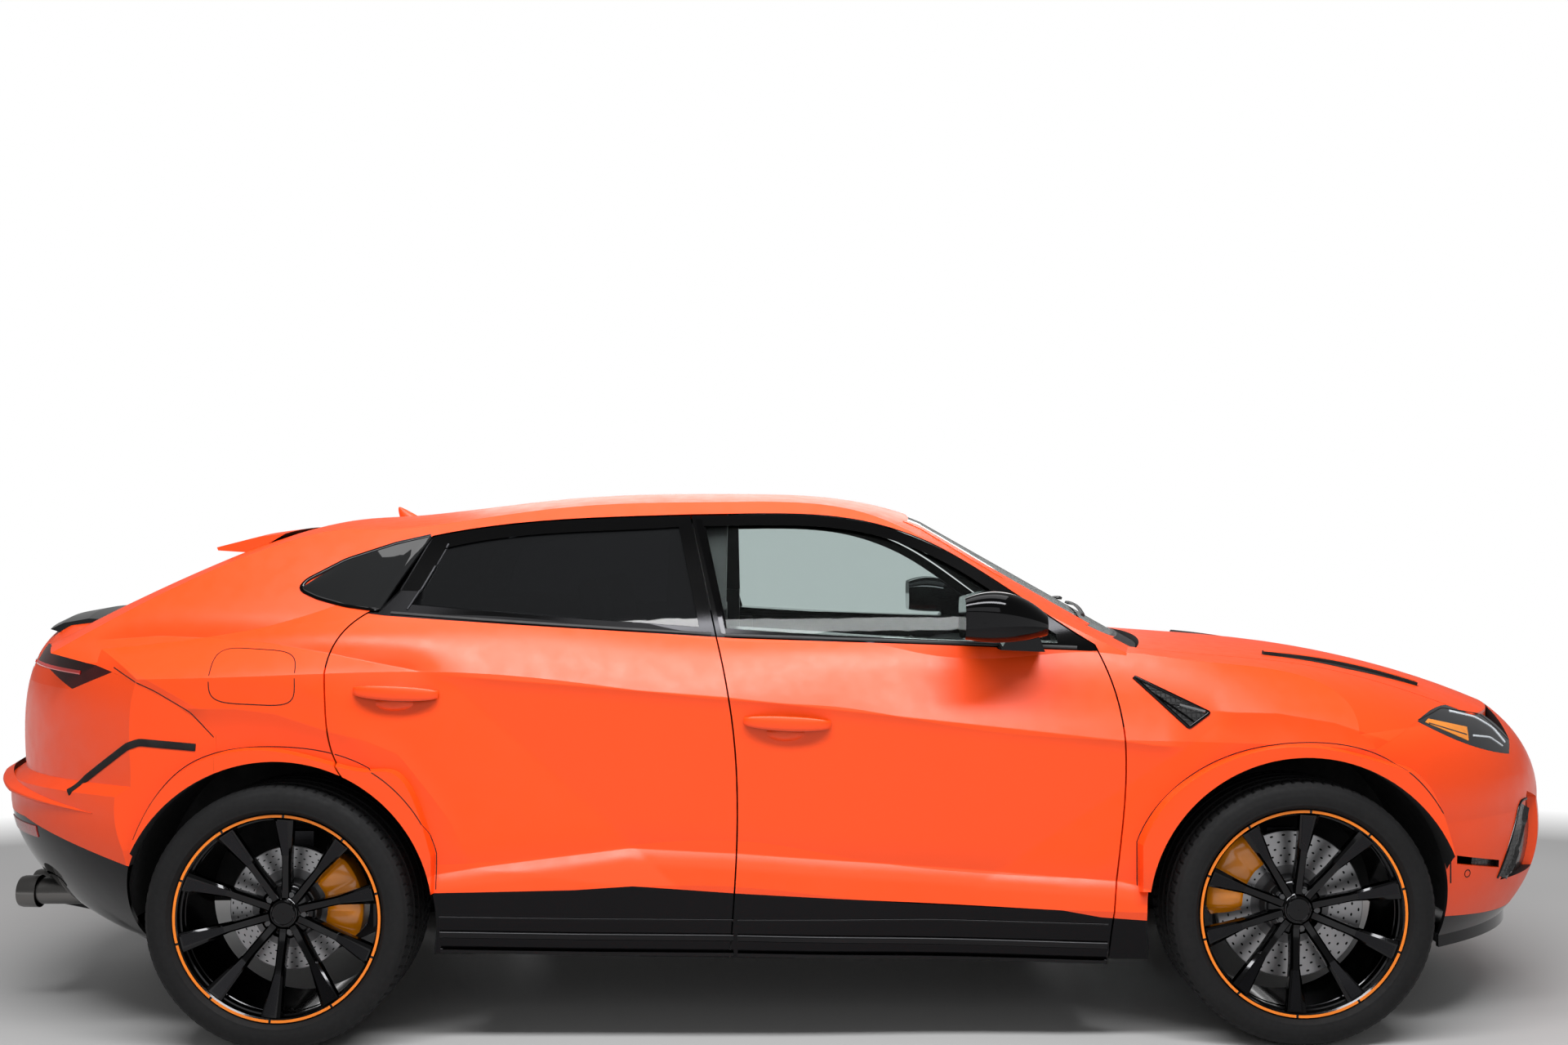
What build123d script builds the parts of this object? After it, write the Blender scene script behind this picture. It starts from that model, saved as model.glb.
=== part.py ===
"""Sport utility vehicle with a sloping coupe roof, as separate pieces in millimetres.

Frame: +X points forward, +Y to the car's left and +Z up. The origin is on the ground,
at the centre of the footprint.
"""
import os
from math import cos, radians, sin

from build123d import *

os.makedirs("parts", exist_ok=True)

# Wheels and axles
WHEELBASE = 3003.0
FRONT_AXLE_X = 1546.0
REAR_AXLE_X = FRONT_AXLE_X - WHEELBASE
TYRE_R = 390.0
AXLE_Z = TYRE_R
RIM_R = 305.0
FRONT_TRACK_HALF = 847.0
REAR_TRACK_HALF = 838.0
FRONT_TYRE_WIDTH = 285.0
REAR_TYRE_WIDTH = 325.0
ARCH_R = 462.0

# Body lines
NOSE_X = 2550.0
TAIL_X = -2550.0
NOSE_SWEEP = 800.0
TAIL_SWEEP = 700.0
FORM_HALF = 1010.0
COWL_X = 1105.0
COWL_Z = 1178.0
ROOF_Z = 1652.0
ROOF_CROWN = 45.0
FLARE_Y = 1006.0
BELLY_Z = 255.0

# Walls and gaps
DOOR_WALL = 90.0
PANEL_WALL = 30.0
ROOF_WALL = 40.0
GLASS_WALL = 6.0
GLASS_INSET = 8.0
SHUT_GAP = 5.0
FIT = 0.3
CURVE_STEPS = 12

# Stations across the car, for the lengthwise form
ACROSS = (0.0, 260.0, 520.0, 720.0, 870.0, 1010.0)

# Flank stations: x, then (y, z) of sill, skirt edge, lower crease, waist, belt and inner belt
FLANK = (
    (-2600.0, (860, 250), (930, 420), (955, 600), (915, 1070), (770, 1165), (600, 1240)),
    (-2150.0, (885, 250), (945, 430), (968, 600), (945, 1080), (790, 1180), (640, 1260)),
    (-1800.0, (910, 258), (960, 440), (976, 585), (972, 1090), (820, 1205), (690, 1290)),
    (-1457.0, (930, 268), (975, 460), (978, 565), (983, 1100), (850, 1240), (740, 1330)),
    (-1100.0, (940, 275), (985, 466), (974, 545), (984, 1110), (872, 1268), (800, 1340)),
    (-500.0, (945, 270), (985, 478), (966, 588), (980, 1066), (884, 1232), (820, 1290)),
    (200.0, (945, 260), (985, 445), (965, 560), (977, 1000), (890, 1184), (820, 1250)),
    (1000.0, (945, 248), (985, 402), (967, 492), (976, 902), (884, 1160), (800, 1230)),
    (1350.0, (945, 245), (982, 390), (972, 480), (980, 892), (860, 1120), (740, 1200)),
    (1600.0, (940, 245), (975, 380), (972, 470), (975, 880), (830, 1085), (700, 1180)),
    (1900.0, (935, 245), (968, 370), (970, 460), (955, 860), (800, 1045), (640, 1150)),
    (2250.0, (920, 245), (950, 370), (960, 460), (925, 835), (760, 995), (600, 1110)),
    (2600.0, (900, 245), (930, 370), (940, 460), (895, 800), (720, 945), (560, 1060)),
)

# Greenhouse flank: heights with half-widths, and how far it draws in along the car
TUMBLEHOME = ((900, 1130), (876, 1200), (785, 1345), (690, 1488), (605, 1600), (520, 1700))
DRAW_IN = ((-2500.0, 190.0), (-2050.0, 105.0), (-1600.0, 40.0), (-1200.0, 6.0), (-400.0, 0.0),
           (500.0, 0.0), (950.0, 8.0), (1300.0, 40.0))


def mirrored(part):
    """The same piece on the other side of the car."""
    return mirror(part, about=Plane.XZ)


def draw(runs):
    """Closed outline from runs of points: two points make a line, more make a spline."""
    for run in runs:
        if len(run) == 2:
            Line(*run)
        else:
            Spline(*run)


def outline_edges(runs, grow):
    """Closed outline as edges, moved outward by a gap if one is given."""
    with BuildSketch() as flat:
        with BuildLine():
            draw(runs)
        make_face()
    wire = flat.sketch.faces()[0].outer_wire()
    if not grow:
        return wire.edges()
    edges = []
    for edge in wire.offset_2d(grow, kind=Kind.ARC).edges():
        if edge.geom_type in (GeomType.LINE, GeomType.CIRCLE):
            edges.append(edge)
        else:
            points = [edge @ (step / CURVE_STEPS) for step in range(CURVE_STEPS + 1)]
            edges.append(Edge.make_spline(points, tangents=[edge % 0, edge % 1]))
    return edges


def block(plane, runs, depth, grow):
    """Outline on a plane, pushed along the plane's normal."""
    edges = outline_edges(runs, grow)
    with BuildPart() as solid:
        with BuildSketch(plane):
            with BuildLine():
                add(edges)
            make_face()
        extrude(amount=depth)
    return solid.part


def side_block(runs, near, far, grow=0.0):
    """Side-view outline as a block between two half-widths."""
    return block(Plane.XZ.offset(-near), runs, near - far, grow)


def plan_block(runs, low, high, grow=0.0):
    """Plan-view outline as a block between two heights."""
    return block(Plane.XY.offset(low), runs, high - low, grow)


def rear_block(runs, rear, front, grow=0.0):
    """Rear-view outline as a block between two lengths."""
    return block(Plane.YZ.offset(rear), runs, front - rear, grow)


def slab(x0, x1, y0, y1, z0, z1):
    """Block between two lengths, two half-widths and two heights."""
    with BuildPart() as block:
        with BuildSketch(Plane.XY.offset(z0)):
            with Locations(((x0 + x1) / 2, (y0 + y1) / 2)):
                Rectangle(x1 - x0, y1 - y0)
        extrude(amount=z1 - z0)
    return block.part


def nose_at(y):
    """Forward end of the nose at a half-width."""
    return NOSE_X - NOSE_SWEEP * (y / FORM_HALF) ** 3


def tail_at(y):
    """Rearward end of the tail at a half-width."""
    return TAIL_X + TAIL_SWEEP * (y / FORM_HALF) ** 3


def length_form(inset=0.0):
    """Half of the hood, nose, belly and tail: side profiles lofted across the car."""
    with BuildPart() as form:
        for y in ACROSS:
            nose = nose_at(y) - inset
            tail = tail_at(y) + inset
            drop = 20 * (y / 700) ** 2 + inset
            floor = BELLY_Z - 3 * inset
            chin = (nose - 110, BELLY_Z + 35)
            heel = (tail + 380, BELLY_Z + 8)
            front = nose - 170
            hood = [(COWL_X + (front - COWL_X) * f, COWL_Z - dz - drop)
                    for f, dz in ((0, 0), (0.27, 28), (0.57, 68), (0.8, 137), (1, 229))]
            lip = (tail + 190, 1238 - drop)
            with BuildSketch(Plane.XZ.offset(-y)):
                with BuildLine():
                    Spline(lip, (-1500, 1300 - inset), (-300, 1330 - inset), hood[0],
                           tangents=[(1, 0.12), (1, -0.08)])
                    Spline(*hood)
                    Spline(hood[-1], (nose - 70, 850 - inset), (nose - 14, 745), (nose, 640))
                    Spline((nose, 640), (nose - 12, 450), chin)
                    Line(chin, (chin[0], floor))
                    Line((chin[0], floor), (heel[0], floor))
                    Line((heel[0], floor), heel)
                    Spline(heel, (tail + 150, BELLY_Z + 140), (tail, 640), (tail, 745))
                    Line((tail, 745), (tail + 45, 775))
                    Spline((tail + 45, 775), (tail + 48, 1000), (tail + 100, 1150 - inset), lip)
                make_face()
        loft()
    return form.part


def flank_form(inset=0.0):
    """Half of the body sides below the windows: cross-sections lofted along the car."""
    with BuildPart() as form:
        for x, sill, skirt, low, waist, belt, inner in FLANK:
            y = [p[0] - inset for p in (sill, skirt, low, waist, belt, inner)]
            z = [p[1] for p in (sill, skirt, low, waist, belt, inner)]
            base = z[0] - 3 * inset
            top = z[5] - 0.5 * inset + 60
            with BuildSketch(Plane.YZ.offset(x)):
                with BuildLine():
                    Line((0, base), (y[0], base))
                    Line((y[0], base), (y[1], z[1]))
                    Line((y[1], z[1]), (y[2], z[2]))
                    Spline((y[2], z[2]), ((y[2] + y[3]) / 2 - 3, (z[2] + z[3]) / 2), (y[3], z[3]))
                    shoulder = ((y[3] + y[4]) / 2 + 12, (z[3] + z[4]) / 2 + 6)
                    ThreePointArc((y[3], z[3]), shoulder, (y[4], z[4]))
                    Line((y[4], z[4]), (y[5], z[5] - 0.5 * inset))
                    Line((y[5], z[5] - 0.5 * inset), (0, top))
                    Line((0, top), (0, base))
                make_face()
        loft()
    return form.part


def roof_form(inset=0.0):
    """Half of the windscreen, roof and backlight: side profiles lofted across the car."""
    with BuildPart() as form:
        for y in (0.0, 260.0, 480.0, 640.0, 800.0, 960.0):
            crown = ROOF_CROWN * (y / 620) ** 3 + inset
            back = 110 * (y / 720) ** 2 + 1.3 * inset
            top = ROOF_Z - crown
            screen_foot = (1215 - back, 1150)
            screen_head = (500 - 0.5 * back, 1560 - crown)
            tail_head = (-1690 + 0.3 * inset, top - 162)
            with BuildSketch(Plane.XZ.offset(-y)):
                with BuildLine():
                    Line(screen_foot, screen_head)
                    Spline(screen_head, (260, top - 26), (-150, top - 1), (-700, top - 16),
                           (-1230, top - 72), tail_head,
                           tangents=[(-1, 0.42), (-1, -0.36)])
                    Spline(tail_head, (-2010 + inset, 1352 - crown), (-2330 + inset, 1190 - crown))
                    Line((-2330 + inset, 1190 - crown), (-2330 + inset, 800))
                    Line((-2330 + inset, 800), (1215 - back, 800))
                    Line((1215 - back, 800), screen_foot)
                make_face()
        loft()
    return form.part


def glasshouse_form(inset=0.0):
    """Half of the window band: cross-sections lofted along the car."""
    with BuildPart() as form:
        for x, draw_in in DRAW_IN:
            side = [(y - draw_in * (z - 900) / 600 - inset, z) for y, z in TUMBLEHOME]
            foot = (side[0][0], 1000)
            with BuildSketch(Plane.YZ.offset(x)):
                with BuildLine():
                    Line((0, foot[1]), foot)
                    Line(foot, side[0])
                    Spline(*side)
                    Line(side[-1], (0, side[-1][1]))
                    Line((0, side[-1][1]), (0, foot[1]))
                make_face()
        loft()
    return form.part


def moved(run, dx, dz=0.0):
    """A run of points shifted in its own plane."""
    return [(x + dx, z + dz) for x, z in run]


# Shut lines in side view
A_SEAM = [(952, 1172), (1022, 898), (1000, 520), (975, 200)]
B_SEAM = [(-139, 200), (-112, 560), (-127, 990), (-172, 1200)]
B_POST = [(-172, 1200), (-262, 1568)]
FRONT_TOP = [(-262, 1568), (28, 1570), (281, 1545), (504, 1466), (697, 1346), (952, 1172)]
REAR_TOP = [(-1062, 1504), (-882, 1534), (-629, 1556), (-267, 1568)]
C_SEAM = [(-1252, 800), (-1294, 880), (-1312, 1040), (-1304, 1165), (-1189, 1290)]
ARCH_FOOT = (REAR_AXLE_X + 440, 200)

FRONT_DOOR = (A_SEAM, [A_SEAM[-1], B_SEAM[0]], B_SEAM, B_POST, FRONT_TOP)
REAR_DOOR = (
    moved(B_SEAM, -SHUT_GAP)[::-1],
    [moved(B_SEAM, -SHUT_GAP)[0], ARCH_FOOT],
    [ARCH_FOOT, C_SEAM[0]],
    C_SEAM,
    [C_SEAM[-1], REAR_TOP[0]],
    REAR_TOP,
    moved(B_POST, -SHUT_GAP)[::-1],
)

# Window glass in side view
FRONT_GLASS = (
    [(-222, 1535), (28, 1537), (281, 1512), (504, 1430), (690, 1312), (842, 1205)],
    [(842, 1205), (842, 1180)],
    [(842, 1180), (350, 1196), (-150, 1226)],
    [(-150, 1226), (-222, 1535)],
)
REAR_GLASS = (
    [(-1020, 1470), (-882, 1496), (-629, 1518), (-300, 1533)],
    [(-300, 1533), (-226, 1230)],
    [(-226, 1230), (-600, 1258), (-1092, 1300)],
    [(-1092, 1300), (-1020, 1470)],
)
QUARTER_GLASS = (
    [(-1112, 1468), (-1205, 1442), (-1320, 1402), (-1405, 1350)],
    [(-1405, 1350), (-1300, 1334), (-1208, 1326)],
    [(-1208, 1326), (-1112, 1468)],
)

# Seams of the nose and tail in side view
BUMPER_SEAM = [(1700, 850), (1944, 934)]
FRONT_BUMPER = (
    BUMPER_SEAM,
    [BUMPER_SEAM[-1], (2330, 846)],
    [(2330, 846), (2330, 1120)],
    [(2330, 1120), (2700, 1120)],
    [(2700, 1120), (2700, 150)],
    [(2700, 150), (1700, 150)],
    [(1700, 150), BUMPER_SEAM[0]],
)
HEADLAMP = (
    [(1944, 934), (2071, 966), (2240, 932), (2330, 850)],
    [(2330, 850), (2300, 812)],
    [(2300, 812), (2140, 850), (1944, 934)],
)
TAIL_SEAM = [(-1634, 925), (-1720, 992), (-1965, 1106)]
REAR_BUMPER = (
    TAIL_SEAM,
    [TAIL_SEAM[-1], (-2133, 1046)],
    [(-2133, 1046), (-2700, 1064)],
    [(-2700, 1064), (-2700, 150)],
    [(-2700, 150), (-1600, 150)],
    [(-1600, 150), TAIL_SEAM[0]],
)
TAIL_LAMP = (
    [TAIL_SEAM[-1], (-2133, 1046)],
    [(-2133, 1046), (-2700, 1064)],
    [(-2700, 1064), (-2700, 1158)],
    [(-2700, 1158), (-2240, 1172)],
    [(-2240, 1172), TAIL_SEAM[-1]],
)
VALANCE = (
    [(-1700, 500), (-2340, 640)],
    [(-2340, 640), (-2700, 640)],
    [(-2700, 640), (-2700, 100)],
    [(-2700, 100), (-1700, 100)],
    [(-1700, 100), (-1700, 500)],
)
SPLITTER = (
    [(1700, 372), (1988, 356), (2194, 334), (2700, 352)],
    [(2700, 352), (2700, 100)],
    [(2700, 100), (1700, 100)],
    [(1700, 100), (1700, 372)],
)

# Hood in plan, and the tailgate, its glass and lamp bar from behind, all as left halves
HOOD_REAR_X = 1225.0
HOOD_CORNER = (1112.0, 730.0)
HOOD = (
    [(HOOD_REAR_X, -20), (HOOD_REAR_X - 34, 400), HOOD_CORNER],
    [HOOD_CORNER, (1546, 706), (1950, 664), (2190, 622)],
    [(2190, 622), (2322, 430), (2382, 200), (2398, -20)],
    [(2398, -20), (HOOD_REAR_X, -20)],
)
TAILGATE_X = -1565.0
LID_HALF = 545.0
LID_FOOT = (530.0, 790.0)
TAILGATE = (
    [(-20, 1720), (LID_HALF, 1720)],
    [(LID_HALF, 1720), (LID_HALF, 1000)],
    [(LID_HALF, 1000), LID_FOOT],
    [LID_FOOT, (-20, LID_FOOT[1])],
    [(-20, LID_FOOT[1]), (-20, 1720)],
)
BACKLIGHT_TOP = (440.0, 1434.0)
BACKLIGHT_FOOT = (500.0, 1300.0)
BACKLIGHT = (
    [(-20, 1452), (300, 1446), BACKLIGHT_TOP],
    [BACKLIGHT_TOP, BACKLIGHT_FOOT],
    [BACKLIGHT_FOOT, (300, 1292), (-20, 1290)],
    [(-20, 1290), (-20, 1452)],
)
LIGHT_BAR_HALF_WIDTH = 520.0
LIGHT_BAR_LOW = 1092.0
LIGHT_BAR_HIGH = 1128.0
LIGHT_BAR = (
    [(-20, LIGHT_BAR_LOW), (LIGHT_BAR_HALF_WIDTH, LIGHT_BAR_LOW)],
    [(LIGHT_BAR_HALF_WIDTH, LIGHT_BAR_LOW), (LIGHT_BAR_HALF_WIDTH, LIGHT_BAR_HIGH)],
    [(LIGHT_BAR_HALF_WIDTH, LIGHT_BAR_HIGH), (-20, LIGHT_BAR_HIGH)],
    [(-20, LIGHT_BAR_HIGH), (-20, LIGHT_BAR_LOW)],
)
SCREEN_FOOT_Z = 1184.0
COWL_HALF = 700.0
WINDSCREEN_HALF = (
    [(-20, SCREEN_FOOT_Z), (640, SCREEN_FOOT_Z)],
    [(640, SCREEN_FOOT_Z), (715, 1216), (640, 1400), (560, 1545)],
    [(560, 1545), (300, 1576), (-20, 1584)],
    [(-20, 1584), (-20, SCREEN_FOOT_Z)],
)


def flare(axle_x, ahead, behind):
    """Raised arch surround on the left side, squared off behind and in front of the wheel."""
    with BuildPart() as form:
        for y, grow in ((900.0, 6.0), (FLARE_Y, -14.0)):
            with BuildSketch(Plane.XZ.offset(-y)):
                with BuildLine():
                    low = AXLE_Z + 60 - grow
                    side = AXLE_Z + 215 + 0.5 * grow
                    Line((axle_x - behind - grow, low), (axle_x - behind - grow, side))
                    Spline((axle_x - behind - grow, side), (axle_x - 265, AXLE_Z + 450 + grow),
                           (axle_x, AXLE_Z + 506 + grow), (axle_x + 265, AXLE_Z + 445 + grow),
                           (axle_x + ahead + grow, side - 25),
                           tangents=[(0.35, 1), (0.25, -1)])
                    Line((axle_x + ahead + grow, side - 25), (axle_x + ahead + grow, low))
                    Line((axle_x + ahead + grow, low), (axle_x - behind - grow, low))
                make_face()
        loft(ruled=True)
    return form.part


def arch_cut(axle_x):
    """Wheel opening through the body side."""
    with BuildPart() as cut:
        with BuildSketch(Plane.XZ.offset(-600.0)):
            with Locations((axle_x, AXLE_Z)):
                Circle(ARCH_R)
            with Locations((axle_x, AXLE_Z - ARCH_R)):
                Rectangle(2 * ARCH_R - 20, 2 * ARCH_R)
        extrude(amount=-500)
    return cut.part


FRONT_FLARE = flare(FRONT_AXLE_X, 442.0, 492.0) - arch_cut(FRONT_AXLE_X)
REAR_FLARE = flare(REAR_AXLE_X, 470.0, 432.0) - arch_cut(REAR_AXLE_X)

LOWER = length_form() & flank_form()
UPPER = roof_form() & glasshouse_form()
LOWER_IN = length_form(PANEL_WALL) & flank_form(PANEL_WALL)
CABIN_LOWER = length_form(PANEL_WALL) & flank_form(DOOR_WALL)
CABIN_UPPER = roof_form(ROOF_WALL) & glasshouse_form(ROOF_WALL)

# Doors
DOOR_NEAR = 700.0
BODY_FAR = 1100.0


def door_shape(outline, with_flare):
    """Left door: the full thickness of the side wall, with its window frame."""
    block = side_block(outline, 560, BODY_FAR)
    sill = side_block([[(-1700, 150), (1200, 150)], [(1200, 150), (1200, 1400)],
                       [(1200, 1400), (-1700, 1400)], [(-1700, 1400), (-1700, 150)]], DOOR_NEAR, BODY_FAR)
    skin = (flank_form() - flank_form(DOOR_WALL)) & sill
    if with_flare:
        skin = skin + (REAR_FLARE - flank_form(DOOR_WALL))
    frame = glasshouse_form() - glasshouse_form(ROOF_WALL)
    return ((skin + frame) & block) - arch_cut(REAR_AXLE_X)


def glass_shape(outline):
    """Curved side glass on the left, set in from the frame."""
    pane = glasshouse_form(GLASS_INSET) - glasshouse_form(GLASS_INSET + GLASS_WALL)
    return pane & side_block(outline, 400, BODY_FAR, -FIT)


def window_cut(outline):
    """Opening for a side glass."""
    return side_block(outline, 400, BODY_FAR)


FRONT_DOOR_LEFT = door_shape(FRONT_DOOR, False) - window_cut(FRONT_GLASS)
REAR_DOOR_LEFT = door_shape(REAR_DOOR, True) - window_cut(REAR_GLASS)


def halves(shape):
    """A left half and its mirror as one piece."""
    return shape + mirrored(shape)


WALL = LOWER - LOWER_IN
TAIL_WALL = 45.0
HINGE_HEIGHTS = ((440, 510), (740, 810))
SILL_LOW = 262.0
SILL_TOP = 430.0
DOOR_SEAT = flank_form(DOOR_WALL + FIT)
CABIN = CABIN_LOWER + CABIN_UPPER
SCREEN_BLOCK = rear_block(WINDSCREEN_HALF, 330, 1400)
TAILGATE_BLOCK = rear_block(TAILGATE, -2700, TAILGATE_X)
LIGHT_BAR_BLOCK = rear_block(LIGHT_BAR, -2700, -2200)

# Roof, pillars and rear quarters
BEHIND_DOORS = slab(-2330, -1100, -20, BODY_FAR, 240, 1600)


def shell_half():
    """Left half of the roof, pillars and rear quarter."""
    quarter = ((LOWER - CABIN) & BEHIND_DOORS) + (REAR_FLARE - CABIN_LOWER)
    shell = (UPPER - CABIN) + quarter
    shell = shell - side_block(FRONT_DOOR, 500, BODY_FAR, SHUT_GAP)
    shell = shell - side_block(REAR_DOOR, 500, BODY_FAR, SHUT_GAP)
    shell = shell - arch_cut(REAR_AXLE_X) - window_cut(QUARTER_GLASS) - SCREEN_BLOCK
    shell = shell - rear_block(TAILGATE, -2700, TAILGATE_X, SHUT_GAP)
    shell = shell - side_block(REAR_BUMPER, -20, BODY_FAR, FIT) - side_block(TAIL_LAMP, -20, BODY_FAR, FIT)
    return shell - slab(980, 1300, -20, COWL_HALF + FIT, 900, SCREEN_FOOT_Z)


PILLAR_DEPTH = DOOR_WALL + 60
POST_DEPTH = ROOF_WALL + SHUT_GAP
PILLAR_T = 40.0
NECK_NEAR = 650.0
NECK_FAR = DOOR_NEAR - SHUT_GAP - 1
NECK_FOOT_Z = 1100.0
PILLAR_REAR_X = -250.0
PILLAR_KNEE_Z = 1278.0
PILLAR_KNEE_T = 20.0
SEAT_FRONT_X = -150.0


def centre_pillar():
    """Left B-pillar behind the doors, from the sill to the roof, with the rear door's hinge seats."""
    knee_top = PILLAR_KNEE_Z + PILLAR_KNEE_T
    lower = flank_form(PILLAR_DEPTH) - flank_form(PILLAR_DEPTH + PILLAR_T)
    lower = lower & slab(PILLAR_REAR_X, -100, DOOR_NEAR, BODY_FAR, SILL_TOP + FIT, knee_top)
    neck = slab(PILLAR_REAR_X, SEAT_FRONT_X, NECK_NEAR, NECK_FAR, NECK_FOOT_Z, knee_top)
    foot = slab(PILLAR_REAR_X, SEAT_FRONT_X, NECK_NEAR, BODY_FAR, NECK_FOOT_Z, NECK_FOOT_Z + PILLAR_T)
    neck = neck + (foot & flank_form(PILLAR_DEPTH))
    upper = glasshouse_form(POST_DEPTH) - glasshouse_form(POST_DEPTH + PILLAR_T)
    upper = upper & slab(-330, SEAT_FRONT_X, 400, BODY_FAR, PILLAR_KNEE_Z, 1605)
    knee = slab(PILLAR_REAR_X, SEAT_FRONT_X, NECK_NEAR, 820, PILLAR_KNEE_Z, knee_top)
    pillar = lower + neck + upper + (knee & glasshouse_form(POST_DEPTH))
    for low_z, high_z in HINGE_HEIGHTS:
        pillar = pillar + (slab(-190, SEAT_FRONT_X, 780, BODY_FAR, low_z, high_z) & DOOR_SEAT)
    return pillar


LID_ARM = (380.0, 440.0)
LID_ARM_DEPTH = TAIL_WALL + 30


def lid_arm():
    """Left arm that carries the tailgate from the roof's rear edge."""
    under = roof_form(LID_ARM_DEPTH)
    root = (roof_form(ROOF_WALL - 10) - under) & slab(-1560, -1480, LID_ARM[0], LID_ARM[1], 1300, 1700)
    tip = (roof_form(TAIL_WALL + FIT) - under) & slab(-1640, -1480, LID_ARM[0], LID_ARM[1], 1300, 1700)
    return root + tip


SHELL_HALF = shell_half() + centre_pillar() + lid_arm()

# Front fender, bumper, hood and lamps, as left halves
FENDER_BLOCK = (
    moved(A_SEAM, SHUT_GAP),
    [moved(A_SEAM, SHUT_GAP)[-1], (2240, 200)],
    [(2240, 200), (2240, 1300)],
    [(2240, 1300), (957, 1300)],
    [(957, 1300), moved(A_SEAM, SHUT_GAP)[0]],
)
HOOD_CUT = plan_block(HOOD, 700, 1400, SHUT_GAP)
FRONT_SKIN = WALL + (FRONT_FLARE - LOWER_IN)
FENDER = FRONT_SKIN & side_block(FENDER_BLOCK, 560, BODY_FAR)
FENDER = FENDER - side_block(FRONT_BUMPER, 300, BODY_FAR, FIT) - HOOD_CUT - arch_cut(FRONT_AXLE_X)
FENDER = FENDER - UPPER - slab(900, HOOD_REAR_X + 10, -10, HOOD_CORNER[1] - 4, 900, 1400)
FENDER = FENDER - side_block(HEADLAMP, 540, BODY_FAR, FIT)



def four_sided(*corners):
    """Runs of the straight-sided outline through four corners."""
    return [[corners[side - 1], corners[side]] for side in range(4)]


NOSE_INTAKE = rear_block(four_sided((-20, 398), (385, 398), (440, 585), (-20, 600)), 2000, 2700)
SIDE_INTAKE = rear_block(four_sided((505, 436), (732, 436), (612, 690), (505, 655)), 2000, 2700)
CORNER_SLOT = side_block(four_sided((2036, 514), (2216, 478), (2216, 502), (2036, 540)), 700, BODY_FAR)
BUMPER_HALF = FRONT_SKIN & side_block(FRONT_BUMPER, -20, BODY_FAR)
BUMPER_HALF = BUMPER_HALF - HOOD_CUT - side_block(HEADLAMP, 540, BODY_FAR, FIT) - arch_cut(FRONT_AXLE_X)
BUMPER_HALF = BUMPER_HALF - NOSE_INTAKE - SIDE_INTAKE - CORNER_SLOT
BUMPER_HALF = BUMPER_HALF - side_block(SPLITTER, -20, BODY_FAR, FIT)
SPLITTER_TRAY = LOWER & slab(2015, 2600, -20, 1000, 240, 285)
SPLITTER_HALF = (FRONT_SKIN & side_block(SPLITTER, -20, BODY_FAR)) + SPLITTER_TRAY
SPLITTER_HALF = SPLITTER_HALF - arch_cut(FRONT_AXLE_X)

GRILLE_OUT = PANEL_WALL + FIT
GRILLE_IN = PANEL_WALL + 12
GRILLE_SLOTS = 5
SLOT_FOOT = 404.0
SLOT_PITCH = 36.0
SLOT_HIGH = 26.0
GRILLE_HALF = length_form(GRILLE_OUT) & flank_form(GRILLE_OUT) & slab(2000, 2700, -20, 800, 375, 712)
GRILLE_HALF = GRILLE_HALF - (length_form(GRILLE_IN) & flank_form(GRILLE_IN))
for slot in range(GRILLE_SLOTS):
    slot_z = SLOT_FOOT + slot * SLOT_PITCH
    GRILLE_HALF = GRILLE_HALF - slab(2300, 2700, -30, 380, slot_z, slot_z + SLOT_HIGH)

HOOD_HALF = WALL & plan_block(HOOD, 700, 1400)
LAMP_DEPTH = 110.0
LAMP_SKIN = LOWER - (length_form(LAMP_DEPTH) & flank_form(LAMP_DEPTH))
HEADLAMP_HALF = (LAMP_SKIN & side_block(HEADLAMP, 540, BODY_FAR)) - HOOD_CUT

# Tail
TAIL_CUT = rear_block(TAILGATE, -2700, TAILGATE_X, SHUT_GAP)
TAIL_IN = length_form(TAIL_WALL) & flank_form(TAIL_WALL)
TAIL_IN = TAIL_IN + (roof_form(TAIL_WALL) & glasshouse_form(TAIL_WALL))
TAILGATE_HALF = ((LOWER + UPPER) - TAIL_IN) & TAILGATE_BLOCK
TAILGATE_HALF = TAILGATE_HALF - rear_block(BACKLIGHT, -2400, TAILGATE_X) - LIGHT_BAR_BLOCK
BAR_DEPTH = 35.0
LIGHT_BAR_HALF = (LOWER - (length_form(BAR_DEPTH) & flank_form(BAR_DEPTH))) & LIGHT_BAR_BLOCK
BACKLIGHT_HALF = (roof_form(6) - roof_form(6 + GLASS_WALL)) & rear_block(BACKLIGHT, -2400, TAILGATE_X, -FIT)

REAR_SKIN = WALL + (REAR_FLARE - LOWER_IN)
REAR_BUMPER_HALF = (REAR_SKIN & side_block(REAR_BUMPER, -20, BODY_FAR)) - TAIL_CUT - arch_cut(REAR_AXLE_X)
VALANCE_TRAY = LOWER & slab(-2600, -1950, -20, 1000, 240, 300)
VALANCE_HALF = (REAR_SKIN & side_block(VALANCE, -20, BODY_FAR)) + VALANCE_TRAY - arch_cut(REAR_AXLE_X)
REAR_BUMPER_HALF = REAR_BUMPER_HALF - side_block(VALANCE, -20, BODY_FAR, FIT)
REAR_LAMP_WALL = 90.0
TAIL_LAMP_HALF = LOWER - (length_form(REAR_LAMP_WALL) & flank_form(REAR_LAMP_WALL))
TAIL_LAMP_HALF = (TAIL_LAMP_HALF & side_block(TAIL_LAMP, 400, BODY_FAR)) - TAIL_CUT


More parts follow.
